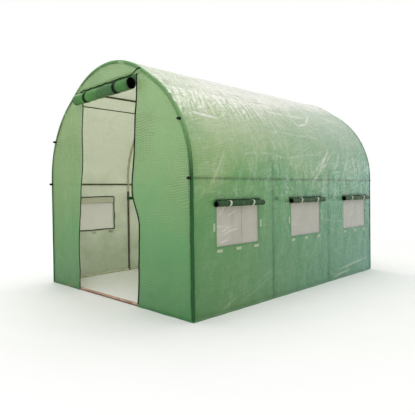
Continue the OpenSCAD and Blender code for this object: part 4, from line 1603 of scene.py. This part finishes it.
def studio_paint(name):
    """Matt pale paint that fades to pure white away from the tunnel, as a studio's sweep does."""
    material, tree = blank_material(name)
    place = add(tree, "ShaderNodeTexCoord", out="Object")
    patchy = add(tree, "ShaderNodeTexNoise", {"Vector": place, "Scale": 1 / FLOOR_PATCH})
    layer = {0: patchy, 6: linear("#f4f4f2"), 7: linear("#f8f8f6")}
    tint = add(tree, "ShaderNodeMix", layer, out=2, data_type="RGBA")
    matt = add(tree, "ShaderNodeBsdfDiffuse", {"Color": tint})
    far = add(tree, "ShaderNodeVectorMath", [place], out="Value", operation="LENGTH")
    faded = add(tree, "ShaderNodeMapRange", [far, FADE_START, FADE_END, 0.0, 1.0])
    faded = add(tree, "ShaderNodeMath", [faded, seen_rays(tree)], operation="MULTIPLY")
    bright = add(tree, "ShaderNodeEmission", {"Color": WHITE, "Strength": 1.0})
    whole = add(tree, "ShaderNodeMixShader", [faded, matt, bright])
    add(tree, "ShaderNodeOutputMaterial", [whole], out=None)
    return material


floor_corners = [(FLOOR_HALF * a, FLOOR_HALF * b, 0) for a, b in ((-1, -1), (1, -1), (1, 1), (-1, 1))]
floor = put("studio_floor", floor_corners, [(0, 1, 2, 3)], studio_paint("pale studio floor"))
print("floor", 2 * FLOOR_HALF, "m square")

# %% Surround and lamps
SURROUND = 0.64
world = bpy.data.worlds.new("white surround")
bpy.context.scene.world = world
world.use_nodes = True
tree = world.node_tree
tree.nodes.clear()
level = add(tree, "ShaderNodeMapRange", [seen_rays(tree), 0.0, 1.0, SURROUND, 1.0])
surround = add(tree, "ShaderNodeBackground", {"Color": WHITE, "Strength": level})
add(tree, "ShaderNodeOutputWorld", [surround], out=None)


def lamp(name, place, aim, size, power):
    """A large soft lamp that points at aim."""
    data = bpy.data.lights.new(name, "AREA")
    data.shape = "SQUARE"
    data.size = size
    data.energy = power
    thing = bpy.data.objects.new(name, data)
    thing.location = place
    thing.rotation_euler = (Vector(aim) - Vector(place)).to_track_quat("-Z", "Y").to_euler()
    bpy.context.scene.collection.objects.link(thing)


lamp("overhead", place=(-0.5, 0.8, 7.0), aim=(0, 0, 1.0), size=6.0, power=216)
lamp("viewer side", place=(5.0, -6.0, 6.0), aim=(0, 0, 0.8), size=4.0, power=200)
lamp("rear side", place=(3.9, 8.2, 1.9), aim=(1.0, 1.2, 1.1), size=2.4, power=30)
lamp("far side", place=(-7.0, 2.0, 4.0), aim=(0, 0, 1.0), size=4.0, power=170)

# %% [markdown]
# ### Camera
#
# The place, turn and lens come from matching the tunnel's corners, arch and windows with their places
# in the photograph. The picture is a crop of a wider one, so its centre isn't the lens's centre: a
# shift of the lens makes up for that.

# %% Camera
FRAME_PX = 415
SENSOR = 36.0
focal_px = 432.94
centre_px = (148.997, 199.90)
camera_place = Vector((3.0821, -3.6885, 0.9303))
turn, tilt, roll_angle = 0.8517, -0.0181, -0.0148
ahead = Vector((-math.sin(turn) * math.cos(tilt), math.cos(turn) * math.cos(tilt), math.sin(tilt)))
right = ahead.cross(Vector((0, 0, 1))).normalized()
above = right.cross(ahead)
right, above = (
    math.cos(roll_angle) * right + math.sin(roll_angle) * above,
    -math.sin(roll_angle) * right + math.cos(roll_angle) * above,
)
camera_data = bpy.data.cameras.new("camera")
camera_data.sensor_width = SENSOR
camera_data.lens = focal_px / FRAME_PX * SENSOR
camera_data.shift_x = 0.5 - centre_px[0] / FRAME_PX
camera_data.shift_y = centre_px[1] / FRAME_PX - 0.5
camera_data.clip_end = 200.0
camera = bpy.data.objects.new("camera", camera_data)
turned = Matrix((right, above, -ahead)).transposed().to_4x4()
camera.matrix_world = Matrix.Translation(camera_place) @ turned
bpy.context.scene.collection.objects.link(camera)
bpy.context.scene.camera = camera
bpy.context.scene.view_settings.view_transform = "Standard"
shift = [round(part, 3) for part in (camera_data.shift_x, camera_data.shift_y)]
print("lens", round(camera_data.lens, 2), "shift", shift)
